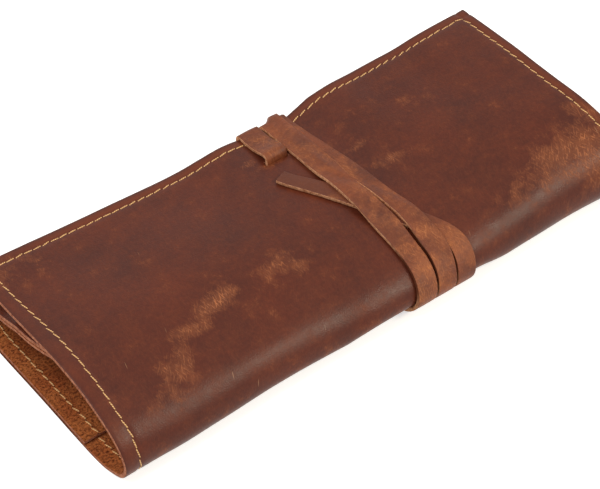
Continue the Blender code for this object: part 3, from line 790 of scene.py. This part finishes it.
def painted_hole_shade(name, hexes):
    """Painted shade for the mouth of a needle hole: a dark dab with a little lighter dust."""
    material, tree, shader = new_finish(name)
    dark, dusty = [linear_colour(h) for h in hexes]
    place = add_node(tree, "ShaderNodeTexCoord").outputs["Object"]
    settings = {"Vector": place, "Scale": 1 / (HOLE_DUST * MM)}
    dust = add_node(tree, "ShaderNodeTexNoise", settings).outputs[0]
    colour = {0: dust, 6: dark, 7: dusty}
    colour = add_node(tree, "ShaderNodeMix", colour, data_type="RGBA").outputs[2]
    tree.links.new(colour, shader.inputs["Base Color"])
    shader.inputs["Roughness"].default_value = 1.0
    return material


cover_hexes = ["#481D12", "#582414", "#6D3219", "#B06A40", "#CFA078"]
strap_hexes = ["#5A2E20", "#7E4229", "#9A5430", "#C47A48", "#CFA078"]
cover_grain = pull_up_leather("waxed_pull_up_leather", cover_hexes, COVER_CREASE, 0.9, 0.37)
strap_grain = pull_up_leather("waxed_strap_leather", strap_hexes, STRAP_CREASE, 3.0, 0.44)
suede = split_suede("split_suede", ["#461B0C", "#AE5D31", "#CE7C44"])
# The first colour of each cut edge is its painted shade.
cut_edge = raw_edge("raw_cut_edge", ["#5A2C1A", "#7E4430", "#BC7F62"])
strap_edge = raw_edge("raw_strap_edge", ["#5E3220", "#9A5C3E", "#E4AC82"])
gold_thread = waxed_thread("waxed_gold_thread", ["#B0743C", "#F4CB8E"])
hole_shade = painted_hole_shade("painted_hole_shade", ["#34180C", "#6A3A1E"])


# The cover, from its flat cut: in front the flap, the front fold and half the base; behind,
# the other half, the back fold and the inner panel. They meet at the middle of the base.

SHEET_PITCH = 0.0014
POCKET_PITCH = 0.002
SEAM_STEP = 0.0006
EDGE_RADIUS = 0.0003
POCKET_EDGE_RADIUS = 0.0002
seam_steps = [-2 * SEAM_STEP, -SEAM_STEP, 0.0, SEAM_STEP, 2 * SEAM_STEP]
slit_middle = ROOT_X + ROOT_SHIFT
slit_xs = [slit_middle - SLIT_HALF_LENGTH, slit_middle + SLIT_HALF_LENGTH]
left_steps = [LEFT_SEAM_X + s for s in seam_steps]
right_steps = [RIGHT_SEAM_X + s for s in seam_steps]
back_steps = [SEAM_INSET + s for s in seam_steps]
inner_steps = [COVER_END - SEAM_INSET + s for s in seam_steps]
cover_xs = stops([-HALF_LENGTH, *left_steps, *slit_xs, *right_steps, HALF_LENGTH], SHEET_PITCH)
# Each half is cut a step past the middle of the base, and is ended flush there afterwards.
past_middle, before_middle = BASE_MIDDLE + SHEET_PITCH, BASE_MIDDLE - SHEET_PITCH
front_ways = stops([0.0, *back_steps, *SLIT_WAYS, BASE_MIDDLE, past_middle], SHEET_PITCH)
back_ways = stops([before_middle, BASE_MIDDLE, *inner_steps, COVER_END], SHEET_PITCH)
cover_finishes = [cover_grain, suede, cut_edge]
slit = ((slit_xs[0], SLIT_WAYS[0]), (slit_xs[1], SLIT_WAYS[1]))
cover_front = leather_sheet(
    "cover_front", cover_xs, front_ways, 0.0, LEATHER, EDGE_RADIUS, cover_finishes, slit, 1
)
cover_back = leather_sheet(
    "cover_back", cover_xs, back_ways, 0.0, LEATHER, EDGE_RADIUS, cover_finishes, None, -1
)

# The pocket ply inside, closed at the left and open at its right edge.
pocket_xs = stops([-HALF_LENGTH, POCKET_MOUTH_X], POCKET_PITCH)
pocket_ways = stops([POCKET_START, COVER_END], POCKET_PITCH)
pocket_depth = LEATHER + PLY_GAP
pocket_finishes = [suede, suede, cut_edge]
pocket = leather_sheet(
    "pocket",
    pocket_xs,
    pocket_ways,
    pocket_depth,
    POCKET_LEATHER,
    POCKET_EDGE_RADIUS,
    pocket_finishes,
)

# Rubbed places on the cover, from handling: (x, way, half sizes, strength), sizes in mm.
rubbed_places = [
    (-53, 59, 7, 3, 0.9), (-46, 57, 7, 3, 0.5), (-62, 64, 6, 3, 0.7), (-68, 62, 5, 2, 0.4),
    (-77, 73, 6, 5, 0.6), (-72, 70, 3, 6, 0.5), (-85, 79, 8, 4, 0.35), (-24, 56, 5, 4, 0.5),
    (-18, 60, 3, 5, 0.5), (-30, 62, 14, 10, 0.2), (33, 30, 5, 2, 0.45), (39, 42, 9, 2.5, 0.55),
    (60, 26, 12, 8, 0.12), (30, 20, 12, 9, 0.15), (66, 78, 12, 5, 0.3), (86, 74, 14, 8, 0.5),
    (99, 84, 14, 11, 0.7), (104, 64, 8, 8, 0.35), (-3, 13, 3, 3, 0.5), (3, 17.8, 5, 1.3, 0.7),
    (-95, 8, 12, 8, 0.3), (-70, 100, 50, 8, 0.25), (20, 100, 60, 8, 0.3),
]
back_rubbed_places = [(0, 190, 120, 14, 0.3)]
# Outside the seam the margin gets a band of painted light from its pillowed shape, weaker at the
# left end, and its very edge darkens, partly painted shade and partly burnish.
MARGIN_MIDDLE, MARGIN_HALF = 2.2 * MM, 1.9 * MM
LEFT_MARGIN_SHARE = 0.2
LEFT_MARGIN_END, LEFT_MARGIN_EASE = -0.098, 0.02
SHADE_AND_BURNISH_REACH = 1.1 * MM
# The cut edges get painted shade where the roll rests on its bottom, as they face down away from
# the light.
BASE_SHADE_MIDDLE, BASE_SHADE_HALF = BASE_MIDDLE + 16 * MM, 66 * MM


def flat_places(piece):
    """Each vertex's place in the flat cut."""
    mesh = piece.data
    vertices = np.zeros(len(mesh.loops), int)
    mesh.loops.foreach_get("vertex_index", vertices)
    corners = np.zeros(len(mesh.loops) * 2)
    mesh.uv_layers[0].data.foreach_get("uv", corners)
    flat = np.zeros((len(mesh.vertices), 2))
    flat[vertices] = corners.reshape(-1, 2)
    return flat


def mark(piece, name, amounts):
    """One amount for each vertex, which the materials read by its name."""
    values = amounts.astype(np.float32)
    piece.data.attributes.new(name, "FLOAT", "POINT").data.foreach_set("value", values)


def wear(piece, places, edge_way):
    """Marks where a half of the cover was rubbed, its margin's painted light and shade along the
    cut edges, and painted shade on its cut edges under the roll.
    """
    flat = flat_places(piece)
    rubbed = np.zeros(len(flat))
    for x, way, half_x, half_way, strength in places:
        spot = ((flat[:, 0] / MM - x) / half_x) ** 2 + ((flat[:, 1] / MM - way) / half_way) ** 2
        rubbed += strength * np.exp(-spot)
    mark(piece, "rubbed", rubbed)
    from_edge = np.minimum(HALF_LENGTH - np.abs(flat[:, 0]), np.abs(flat[:, 1] - edge_way))
    # The band of painted light on the pillowed margin, weaker at the left end.
    raised = hump(from_edge, MARGIN_MIDDLE, MARGIN_HALF)
    right_of_end = ramp(flat[:, 0], LEFT_MARGIN_END, LEFT_MARGIN_EASE)
    raised *= LEFT_MARGIN_SHARE + (1 - LEFT_MARGIN_SHARE) * right_of_end
    # The very edge darker: painted shade and burnish together.
    shade_and_burnish = 1 - smoothstep(from_edge / SHADE_AND_BURNISH_REACH)
    mark(piece, "light_shade_and_burnish", raised - shade_and_burnish)
    # Painted shade on the cut edges where the roll rests on its bottom.
    mark(piece, "painted_shade", hump(flat[:, 1], BASE_SHADE_MIDDLE, BASE_SHADE_HALF))


wear(cover_front, rubbed_places, 0.0)
wear(cover_back, back_rubbed_places, COVER_END)

# The tie strap. In the solid model its layers stand apart; here it lies close.

HULL_LIFT = STRAP_GAP + STRAP_THICKNESS / 2
CLOSE_GAP = 0.00015
CLOSE_LIFT = CLOSE_GAP + STRAP_THICKNESS / 2
CLOSE_RISE = CLOSE_GAP + STRAP_THICKNESS
STRAP_STEP = 0.001
STRAP_EDGE_RADIUS = 0.00022
# Its middle stands a little higher than its edges.
STRAP_CROWN = 0.12 * MM
# It can't bend sharply, so its line is evened out over this many steps to either side.
STRAP_EASE_STEPS = 8
# The free end, from this far along, is darker: painted shadow of the band that lies over it, and
# its own drier leather.
FREE_END_FROM, FREE_END_EASE = 0.562, 6 * MM
FREE_END_SHADE_AND_DRYNESS = 1.1
# Where each turn comes up over the front fold, its cut edges get painted shade for the dark gaps
# between the bands there, and its face a lighter tan: turns round the roll.
FRONT_TURN, FRONT_TURN_HALF = 0.60, 0.13
# Its tan: wear all over and in patches, and over the front fold a lighter tan, partly wear and
# partly painted sheen; and the painted shade on its cut edges there.
STRAP_WEAR, PATCH_WEAR, FRONT_WEAR_AND_SHEEN, FRONT_EDGE_SHADE = 0.16, 0.26, 0.3, 0.7
PATCH_SIZE, PATCH_SEED = 9 * MM, 21
# It crosses the flap's back seam held up this high, within this reach of the edge.
BRIDGE_HEIGHT = 0.3 * MM
BRIDGE_REACH, BRIDGE_EASE = 9 * MM, 6 * MM
# Where it lies over itself: less than this many turns apart is still the same stretch.
SAME_STRETCH = 0.3
# It is lifted by the steps of the lower stretch that are this near, softly at their sides,
# and over this many steps of its own to either side.
CROSSING_REACH = 0.8 * MM
CROSSING_EASE = 0.8 * MM
CROSSING_STEPS = 4
# The places across it, and the angles by which it turns round the flap's back edge.
strap_shares = np.linspace(-0.5, 0.5, 11)
hull_corner = np.linspace(0, math.pi / 2, 9)


def hull():
    """The closed line that the strap is pulled round, with its outward directions."""
    places = [np.repeat(cover_line[:1], len(hull_corner), axis=0)]
    outs = [np.stack([np.sin(hull_corner), np.cos(hull_corner)], axis=1)]
    first = stretch_ends[1] * CURVE_SAMPLES
    outermost = first + int(np.argmax(cover_line[first:, 0]))
    runs = unit(cover_line[2:] - cover_line[:-2])[:outermost][::-1]
    places.append(cover_line[1 : outermost + 1][::-1])
    outs.append(np.stack([runs[:, 1], -runs[:, 0]], axis=1))
    places.append(cover_line[:1])
    outs.append(np.array([[0.0, 1.0]]))
    places, outs = np.vstack(places), np.vstack(outs)
    return places, outs, lengths_along(places + outs * HULL_LIFT)


hull_places, hull_outs, hull_ways = hull()
HULL_LENGTH = hull_ways[-1]


def hull_frame(turns, x):
    """The leather's place and outward direction this many turns round the hull."""
    distance = (turns % 1) * HULL_LENGTH
    flat = [np.interp(distance, hull_ways, hull_places[:, axis]) for axis in (0, 1)]
    out = [np.interp(distance, hull_ways, hull_outs[:, axis]) for axis in (0, 1)]
    outward = unit(np.stack([np.zeros(len(x)), out[0], out[1] / read(crest_line, x)], axis=1))
    return carry(x, *flat), outward


def seam_bridge(turns):
    """How far the strap is held up where it crosses the flap's back seam."""
    along = (turns % 1) * HULL_LENGTH
    from_edge = np.minimum(along, HULL_LENGTH - along)
    return BRIDGE_HEIGHT * (1 - ramp(from_edge, BRIDGE_REACH, BRIDGE_EASE))


def eased(values, reach):
    """A weighted running mean down the columns."""
    window = np.hanning(2 * reach + 3)
    window = window / window.sum()
    edges = [(reach + 1, reach + 1)] + [(0, 0)] * (values.ndim - 1)
    padded = np.pad(values, edges, mode="edge")
    return sum(w * padded[k : k + len(values)] for k, w in enumerate(window))


def spread_high(values, reach):
    """The highest value within reach, down the columns."""
    padded = np.pad(values, [(reach, reach), (0, 0)], mode="edge")
    return np.lib.stride_tricks.sliding_window_view(padded, 2 * reach + 1, axis=0).max(axis=-1)


def lie_over(turns, x, levels, widths):
    """How high each part of the strap lies over the stretches that pass beneath it."""
    run = unit(np.stack([np.gradient(turns) * HULL_LENGTH, np.gradient(x)], axis=1))
    around = (turns % 1) * HULL_LENGTH
    heights = np.zeros((len(x), len(strap_shares)))
    for level in range(1, levels.max() + 1):
        for i in np.flatnonzero(levels == level):
            apart = np.abs(turns - turns[i]) > SAME_STRETCH
            lower = np.flatnonzero((levels < level) & apart)
            across = strap_shares[:, None] * widths[i]
            on = around[i] - run[i, 1] * across - around[lower]
            on = (on + HULL_LENGTH / 2) % HULL_LENGTH - HULL_LENGTH / 2
            over = x[i] + run[i, 0] * across - x[lower]
            past = on * run[lower, 0] + over * run[lower, 1]
            side = over * run[lower, 0] - on * run[lower, 1]
            inside = smoothstep((widths[lower] / 2 - np.abs(side)) / CROSSING_EASE + 0.5)
            column = np.rint((side / widths[lower] + 0.5) * (len(strap_shares) - 1)).astype(int)
            column = np.clip(column, 0, len(strap_shares) - 1)
            top = (heights[lower, column] + CLOSE_RISE) * inside
            heights[i] = np.where(np.abs(past) < CROSSING_REACH, top, 0.0).max(axis=1)
    heights = eased(spread_high(heights, CROSSING_STEPS), STRAP_EASE_STEPS)
    return eased(heights.T, 1).T


def strap_ribbon(name, places, across, widths, heights, ways, over_front_fold):
    """A flat strap through these stations, grain side out and worn; over the front fold its face
    is lighter with wear and painted sheen, and its cut edges carry painted shade.
    """
    run = unit(np.gradient(places, axis=0))
    lift = unit(np.cross(across, run))
    offsets = strap_shares[None, :, None] * widths[:, None, None]
    crown = STRAP_CROWN * (1 - (2 * strap_shares) ** 2)
    rise = (heights + crown + STRAP_THICKNESS / 2)[..., None]
    grid = places[:, None, :] + across[:, None, :] * offsets + lift[:, None, :] * rise
    ribbon = grid_piece(name, strap_shares * STRAP_WIDTH, ways, grid)
    finishes = [strap_grain, strap_edge, strap_edge]
    give_thickness(ribbon, STRAP_THICKNESS, STRAP_EDGE_RADIUS, finishes)
    smooth_faces()
    flat = flat_places(ribbon)
    over_front_fold = np.interp(flat[:, 1], ways, over_front_fold)
    patches = soft_noise(*flat.T, PATCH_SIZE, PATCH_SEED)
    # Over the front fold the face is a lighter tan, partly wear and partly painted sheen.
    mark(ribbon, "rubbed", STRAP_WEAR + PATCH_WEAR * patches + FRONT_WEAR_AND_SHEEN * over_front_fold)
    # Painted shade on the cut edges over the front fold, for the dark gaps between the bands.
    mark(ribbon, "painted_shade", FRONT_EDGE_SHADE * over_front_fold)
    # The free end is darkened: painted shadow of the band over it, with its drier leather.
    mark(ribbon, "light_shade_and_burnish", -FREE_END_SHADE_AND_DRYNESS * ramp(flat[:, 1], FREE_END_FROM, FREE_END_EASE))
    return ribbon


stations = np.array(strap_turns)
strap_count = round((stations[-1, 0] - stations[0, 0]) * HULL_LENGTH / STRAP_STEP)
turns = np.linspace(stations[0, 0], stations[-1, 0], strap_count + 1)
pitches = np.interp(turns, stations[:, 0], stations[:, 1])
strap_x = eased(ROOT_X + STRAP_PITCH * pitches, STRAP_EASE_STEPS)
levels = np.rint(np.interp(turns, stations[:, 0], stations[:, 2])).astype(int)
from_tip = (stations[-1, 0] - turns) * HULL_LENGTH
narrowing = 1 - smoothstep(from_tip / STRAP_TAPER_LENGTH)
cut_widths = MM * np.interp(turns, *np.array(strap_cuts).T)
strap_widths = eased(cut_widths, STRAP_EASE_STEPS)
strap_widths += (STRAP_TIP_WIDTH - STRAP_WIDTH) * narrowing
strap_heights = lie_over(turns, strap_x, levels, strap_widths)
middle_heights = strap_heights.mean(axis=1)
leather_places, strap_outs = hull_frame(turns, strap_x)
strap_rise = CLOSE_LIFT + seam_bridge(turns) + middle_heights
strap_places = leather_places + strap_outs * strap_rise[:, None]
strap_across = unit(np.cross(np.gradient(strap_places, axis=0), strap_outs))
tie_strap = strap_ribbon(
    "wound_strap",
    strap_places,
    strap_across,
    strap_widths,
    strap_heights - middle_heights[:, None],
    (turns - turns[0]) * HULL_LENGTH,
    hump(turns % 1, FRONT_TURN, FRONT_TURN_HALF),
)

# The strap's root: a tab under the flap, up through the slit and back over the edge.
ROOT_STEP = 0.0004
ROOT_EASE = 6 * MM
TAB_EASE = 2 * MM
# Its grain pattern starts this far before the winding's, so the two don't match.
ROOT_PATTERN_SHIFT = 100 * MM
root_curve = smooth_line(np.array(root_line) * MM)
root_lengths = lengths_along(root_curve)
root_stops = stops([0.0, root_lengths[-1]], ROOT_STEP)
from_edge, over_grain = [np.interp(root_stops, root_lengths, root_curve[:, k]) for k in (0, 1)]
on_top = ramp(from_edge, -ROOT_EASE, ROOT_EASE)
root_xs = ROOT_X + ROOT_SHIFT * on_top
leather_places, root_outs = hull_frame(1 - from_edge / HULL_LENGTH, root_xs)
root_places = leather_places + root_outs * over_grain[:, None]
root_widths = STRAP_WIDTH + ROOT_WIDENING * on_top
root_widths += (TAB_WIDENING - ROOT_WIDENING) * ramp(from_edge, TAB_FROM_EDGE, TAB_EASE)
root_across = np.tile([1.0, 0.0, 0.0], (len(root_stops), 1))
root_level = np.zeros((len(root_stops), len(strap_shares)))
strap_root = strap_ribbon(
    "strap_through_slit",
    root_places,
    root_across,
    root_widths,
    root_level,
    root_stops - ROOT_PATTERN_SHIFT,
    np.zeros(len(root_stops)),
)

# Stitches.

STITCH_PITCH = 0.0035
STITCH_HALF_LENGTH = 0.0018
STITCH_RADIUS = 0.00026
STITCH_SLANT = math.radians(9)
# A stitch lies a little sunk, and its ends dip into the needle holes.
STITCH_END_DIP = 0.12 * MM
STITCH_DIP_POWER = 6
STITCH_SUNK = 0.02 * MM
# It keeps its girth nearly up to its ends. 0 would leave it a plain ellipsoid.
STITCH_FULLNESS = 0.45
THINNEST_GIRTH = 0.01
# On the flesh side the thread sinks in at its ends, so less of each stitch shows.
FLESH_LENGTH_SHARE = 0.8
# How unevenly the stitches are sewn.
STITCH_STRAY = 0.07 * MM
STITCH_SLANT_STRAY = math.radians(4)
# The needle holes' dabs of painted shade: their half sizes, and how far they stand out so that
# they aren't hidden.
HOLE_SIZE = (0.00028, 0.00028, 0.00005)
HOLE_RAISED = 0.03 * MM
SEAM_CORNER_RADIUS = 0.0022
SEAM_CORNER_STEPS = 6
# The slot seams stop short of the left seam and of the pocket's mouth, and are spread evenly.
SLOT_LEFT_SETBACK, SLOT_RIGHT_SETBACK = 9 * MM, 3 * MM
SLOT_SEAMS_PER_STRETCH = 2
GRAIN, FLESH = 1, -1
stitch_wander = np.random.default_rng(17)


def round_shape(segments, rings):
    """A small ball's vertices and faces, its poles turned to lie along X."""
    deselect()
    bpy.ops.mesh.primitive_uv_sphere_add(segments=segments, ring_count=rings, radius=1)
    ball = bpy.context.object
    points = np.array([v.co for v in ball.data.vertices])[:, [2, 0, 1]]
    faces = [list(p.vertices) for p in ball.data.polygons]
    bpy.data.objects.remove(ball)
    return points, faces


ball_points, stitch_faces = round_shape(segments=8, rings=8)
end_share = ball_points[:, 0]
girth = np.linalg.norm(ball_points[:, 1:], axis=1)
swelling = np.maximum(girth, THINNEST_GIRTH) ** -STITCH_FULLNESS
fuller = np.where(girth > THINNEST_GIRTH, swelling, 0.0)
end_dip = STITCH_END_DIP * np.abs(end_share) ** STITCH_DIP_POWER
stitch_points = np.stack([
    end_share * STITCH_HALF_LENGTH,
    ball_points[:, 1] * fuller * STITCH_RADIUS,
    ball_points[:, 2] * fuller * STITCH_RADIUS - end_dip,
], axis=1)
stitch_shapes = {GRAIN: stitch_points, FLESH: stitch_points * (FLESH_LENGTH_SHARE, 1.0, 1.0)}
hole_points, hole_faces = round_shape(segments=6, rings=5)
hole_points = hole_points[:, [1, 2, 0]] * HOLE_SIZE


def rounded_path(corners, radius, pitch):
    """Equal steps along a path in the flat cut, its corners rounded."""
    corners = np.array(corners, float)
    line = [corners[0]]
    for before, corner, after in zip(corners, corners[1:], corners[2:]):
        start = corner + unit(before - corner) * radius
        end = corner + unit(after - corner) * radius
        for t in np.linspace(0, 1, SEAM_CORNER_STEPS):
            line.append(start * (1 - t) ** 2 + 2 * corner * t * (1 - t) + end * t**2)
    line = np.array(line + [corners[-1]])
    ways = lengths_along(line)
    count = max(1, round(ways[-1] / pitch))
    steps = np.arange(2 * count + 1) / (2 * count) * ways[-1]
    path = np.stack([np.interp(steps, ways, line[:, k]) for k in (0, 1)], axis=1)
    return path[1::2], path[::2]


def sew(name, rows):
    """Rows of stitches as one piece. A row is its corners, its depth and which face it is on."""
    points, faces, slots, uvs = [], [], [], []
    total = 0
    for corners, depth, side in rows:
        middles, ends = rounded_path(corners, SEAM_CORNER_RADIUS, STITCH_PITCH)
        middles = middles + stitch_wander.normal(0, STITCH_STRAY, middles.shape)
        shapes = [(middles, stitch_shapes[side], stitch_faces, 0, -STITCH_SUNK)]
        # Each needle hole is a small dark dab of painted shade.
        shapes.append((ends, hole_points, hole_faces, 1, HOLE_RAISED))
        for spots, shape, shape_faces, slot, raised in shapes:
            depths = np.full(len(spots), depth)
            place, along, across, outward = cover_frame(spots[:, 0], spots[:, 1], depths)
            turn = unit(np.gradient(spots, axis=0)) if len(spots) > 1 else np.array([[1.0, 0.0]])
            outward = outward * side
            slant_stray = stitch_wander.normal(0, STITCH_SLANT_STRAY, (len(spots), 1))
            slant = STITCH_SLANT + slant_stray
            ahead = across * turn[:, :1] + along * turn[:, 1:]
            aside = np.cross(outward, ahead)
            heading = ahead * np.cos(slant) + aside * np.sin(slant)
            sideways = aside * np.cos(slant) - ahead * np.sin(slant)
            for k in range(len(spots)):
                local = shape @ np.stack([heading[k], sideways[k], outward[k]])
                points.append(place[k] + outward[k] * raised + local)
                faces += [[total + index for index in face] for face in shape_faces]
                slots += [slot] * len(shape_faces)
                uvs += [shape[index][[0, 1]] for face in shape_faces for index in face]
                total += len(shape)
    mesh = bpy.data.meshes.new(name)
    mesh.from_pydata(np.vstack(points).tolist(), [], faces)
    mesh.uv_layers.new(name="flat").data.foreach_set("uv", np.array(uvs, np.float32).ravel())
    mesh.materials.append(gold_thread)
    mesh.materials.append(hole_shade)
    mesh.polygons.foreach_set("material_index", slots)
    mesh.polygons.foreach_set("use_smooth", [True] * len(faces))
    mesh.update()
    piece = bpy.data.objects.new(name, mesh)
    bpy.context.scene.collection.objects.link(piece)
    return piece


POCKET_FACE = LEATHER + PLY_GAP + POCKET_LEATHER
left_start, right_start = (LEFT_SEAM_X, BASE_MIDDLE), (RIGHT_SEAM_X, BASE_MIDDLE)
step_left = (LEFT_SEAM_X, POCKET_START)
corner_left, corner_right = (LEFT_SEAM_X, SEAM_INSET), (RIGHT_SEAM_X, SEAM_INSET)
flap_path = [left_start, corner_left, corner_right, right_start]
inner_edge = COVER_END - SEAM_INSET
inner_path = [left_start, (LEFT_SEAM_X, inner_edge), (RIGHT_SEAM_X, inner_edge), right_start]
front_rows = [
    (flap_path, 0.0, GRAIN),
    ([step_left, corner_left, corner_right, right_start], LEATHER, FLESH),
    ([left_start, step_left], POCKET_FACE, FLESH),
]
pocket_side = [left_start, (LEFT_SEAM_X, inner_edge), (POCKET_MOUTH_X, inner_edge)]
plain_side = [(POCKET_MOUTH_X, inner_edge), (RIGHT_SEAM_X, inner_edge), right_start]
back_rows = [
    (inner_path, 0.0, GRAIN),
    (pocket_side, POCKET_FACE, FLESH),
    (plain_side, LEATHER, FLESH),
]
front_stitches = sew("front_stitches", front_rows)
back_stitches = sew("back_stitches", back_rows)
slot_x = (LEFT_SEAM_X + SLOT_LEFT_SETBACK, POCKET_MOUTH_X - SLOT_RIGHT_SETBACK)
slot_rows = []
for start, end in ((POCKET_START, BASE_END), (BASE_END, INNER_START), (INNER_START, COVER_END)):
    for row in range(1, SLOT_SEAMS_PER_STRETCH + 1):
        slot_way = start + (end - start) * row / (SLOT_SEAMS_PER_STRETCH + 1)
        slot_rows.append(([(slot_x[0], slot_way), (slot_x[1], slot_way)], POCKET_FACE, FLESH))
slot_stitches = sew("slot_stitches", slot_rows)

# What carries each piece: the solid model's parts are hidden, and each piece is fixed in place or
# hung on the body that carries it.

front_seams = ["flap_seam", "fold_seam_left", "fold_seam_right"]
front_seams += ["base_seam_left", "base_seam_right"]
slot_seams = ["base_slot_seam_1", "base_slot_seam_2", "back_fold_slot_seam_1"]
slot_seams += ["back_fold_slot_seam_2", "inner_slot_seam_1", "inner_slot_seam_2"]
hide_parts("base_panel", "front_fold", "flap_panel")
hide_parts("back_fold", "inner_panel")
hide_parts("base_pocket", "back_fold_pocket", "inner_pocket")
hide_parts(*front_seams)
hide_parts("back_seam_left", "back_seam_right", "inner_seam")
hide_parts(*slot_seams)
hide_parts("tie_strap")
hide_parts("strap_root")
for piece in (cover_front, front_stitches):
    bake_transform(piece)
for piece in (cover_back, back_stitches):
    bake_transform(piece)
for piece in (pocket, slot_stitches):
    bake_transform(piece)
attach(strap_root, "flap")
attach(tie_strap, "strap")
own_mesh(tie_strap)

# Floor, lamps and world.

LAMP_DISTANCE = 1.0
FLOOR_SIZE = 6.0
FLOOR_DEPTH = 0.3 * MM
# The floor's glow and the world's light are set so that the picture's ground is white and
# the roll keeps its shadows.
FLOOR_GLOW = 0.6
ROOM_LIGHT = 0.46


def seen_directly(tree):
    """1 for camera, glossy and transmission rays, else 0."""
    path = add_node(tree, "ShaderNodeLightPath").outputs
    seen = {0: path["Is Camera Ray"], 1: path["Is Glossy Ray"]}
    seen = add_node(tree, "ShaderNodeMath", seen, operation="MAXIMUM").outputs[0]
    seen = {0: seen, 1: path["Is Transmission Ray"]}
    return add_node(tree, "ShaderNodeMath", seen, operation="MAXIMUM").outputs[0]


def pale_floor():
    deselect()
    bpy.ops.mesh.primitive_plane_add(size=FLOOR_SIZE, location=(0.0, 0.0, -FLOOR_DEPTH))
    floor = bpy.context.object
    floor.name = "floor"
    material, tree, shader = new_finish("pale_floor")
    shader.inputs["Base Color"].default_value = linear_colour("#EEEEEC")
    shader.inputs["Roughness"].default_value = 0.9
    glow = {0: seen_directly(tree), 1: FLOOR_GLOW}
    glow = add_node(tree, "ShaderNodeMath", glow, operation="MULTIPLY").outputs[0]
    shader.inputs["Emission Color"].default_value = (1.0, 1.0, 1.0, 1.0)
    tree.links.new(glow, shader.inputs["Emission Strength"])
    floor.data.materials.append(material)


def soft_lamp(name, direction, size, power, hex_colour):
    deselect()
    place = Vector(direction).normalized() * LAMP_DISTANCE
    bpy.ops.object.light_add(type="AREA", location=place)
    lamp = bpy.context.object
    lamp.name = name
    lamp.rotation_euler = place.to_track_quat("Z", "Y").to_euler()
    lamp.data.shape = "RECTANGLE"
    lamp.data.size, lamp.data.size_y = size
    lamp.data.energy = power
    lamp.data.color = linear_colour(hex_colour)[:3]


def white_room():
    world = bpy.data.worlds.new("white_room")
    bpy.context.scene.world = world
    world.use_nodes = True
    tree = world.node_tree
    background = tree.nodes["Background"]
    strength = {"Value": seen_directly(tree), "To Min": ROOM_LIGHT, "To Max": 1.0}
    strength = add_node(tree, "ShaderNodeMapRange", strength).outputs[0]
    background.inputs["Color"].default_value = (1.0, 1.0, 1.0, 1.0)
    tree.links.new(strength, background.inputs["Strength"])


pale_floor()
soft_lamp("key_lamp", (-0.48, 0.10, 0.87), (0.5, 0.5), 4.7, "#FFFDF8")
soft_lamp("sheen_lamp", (0.46, -0.60, 0.66), (0.37, 0.12), 4.1, "#FFF6DE")
white_room()
bpy.context.scene.view_settings.view_transform = "Standard"
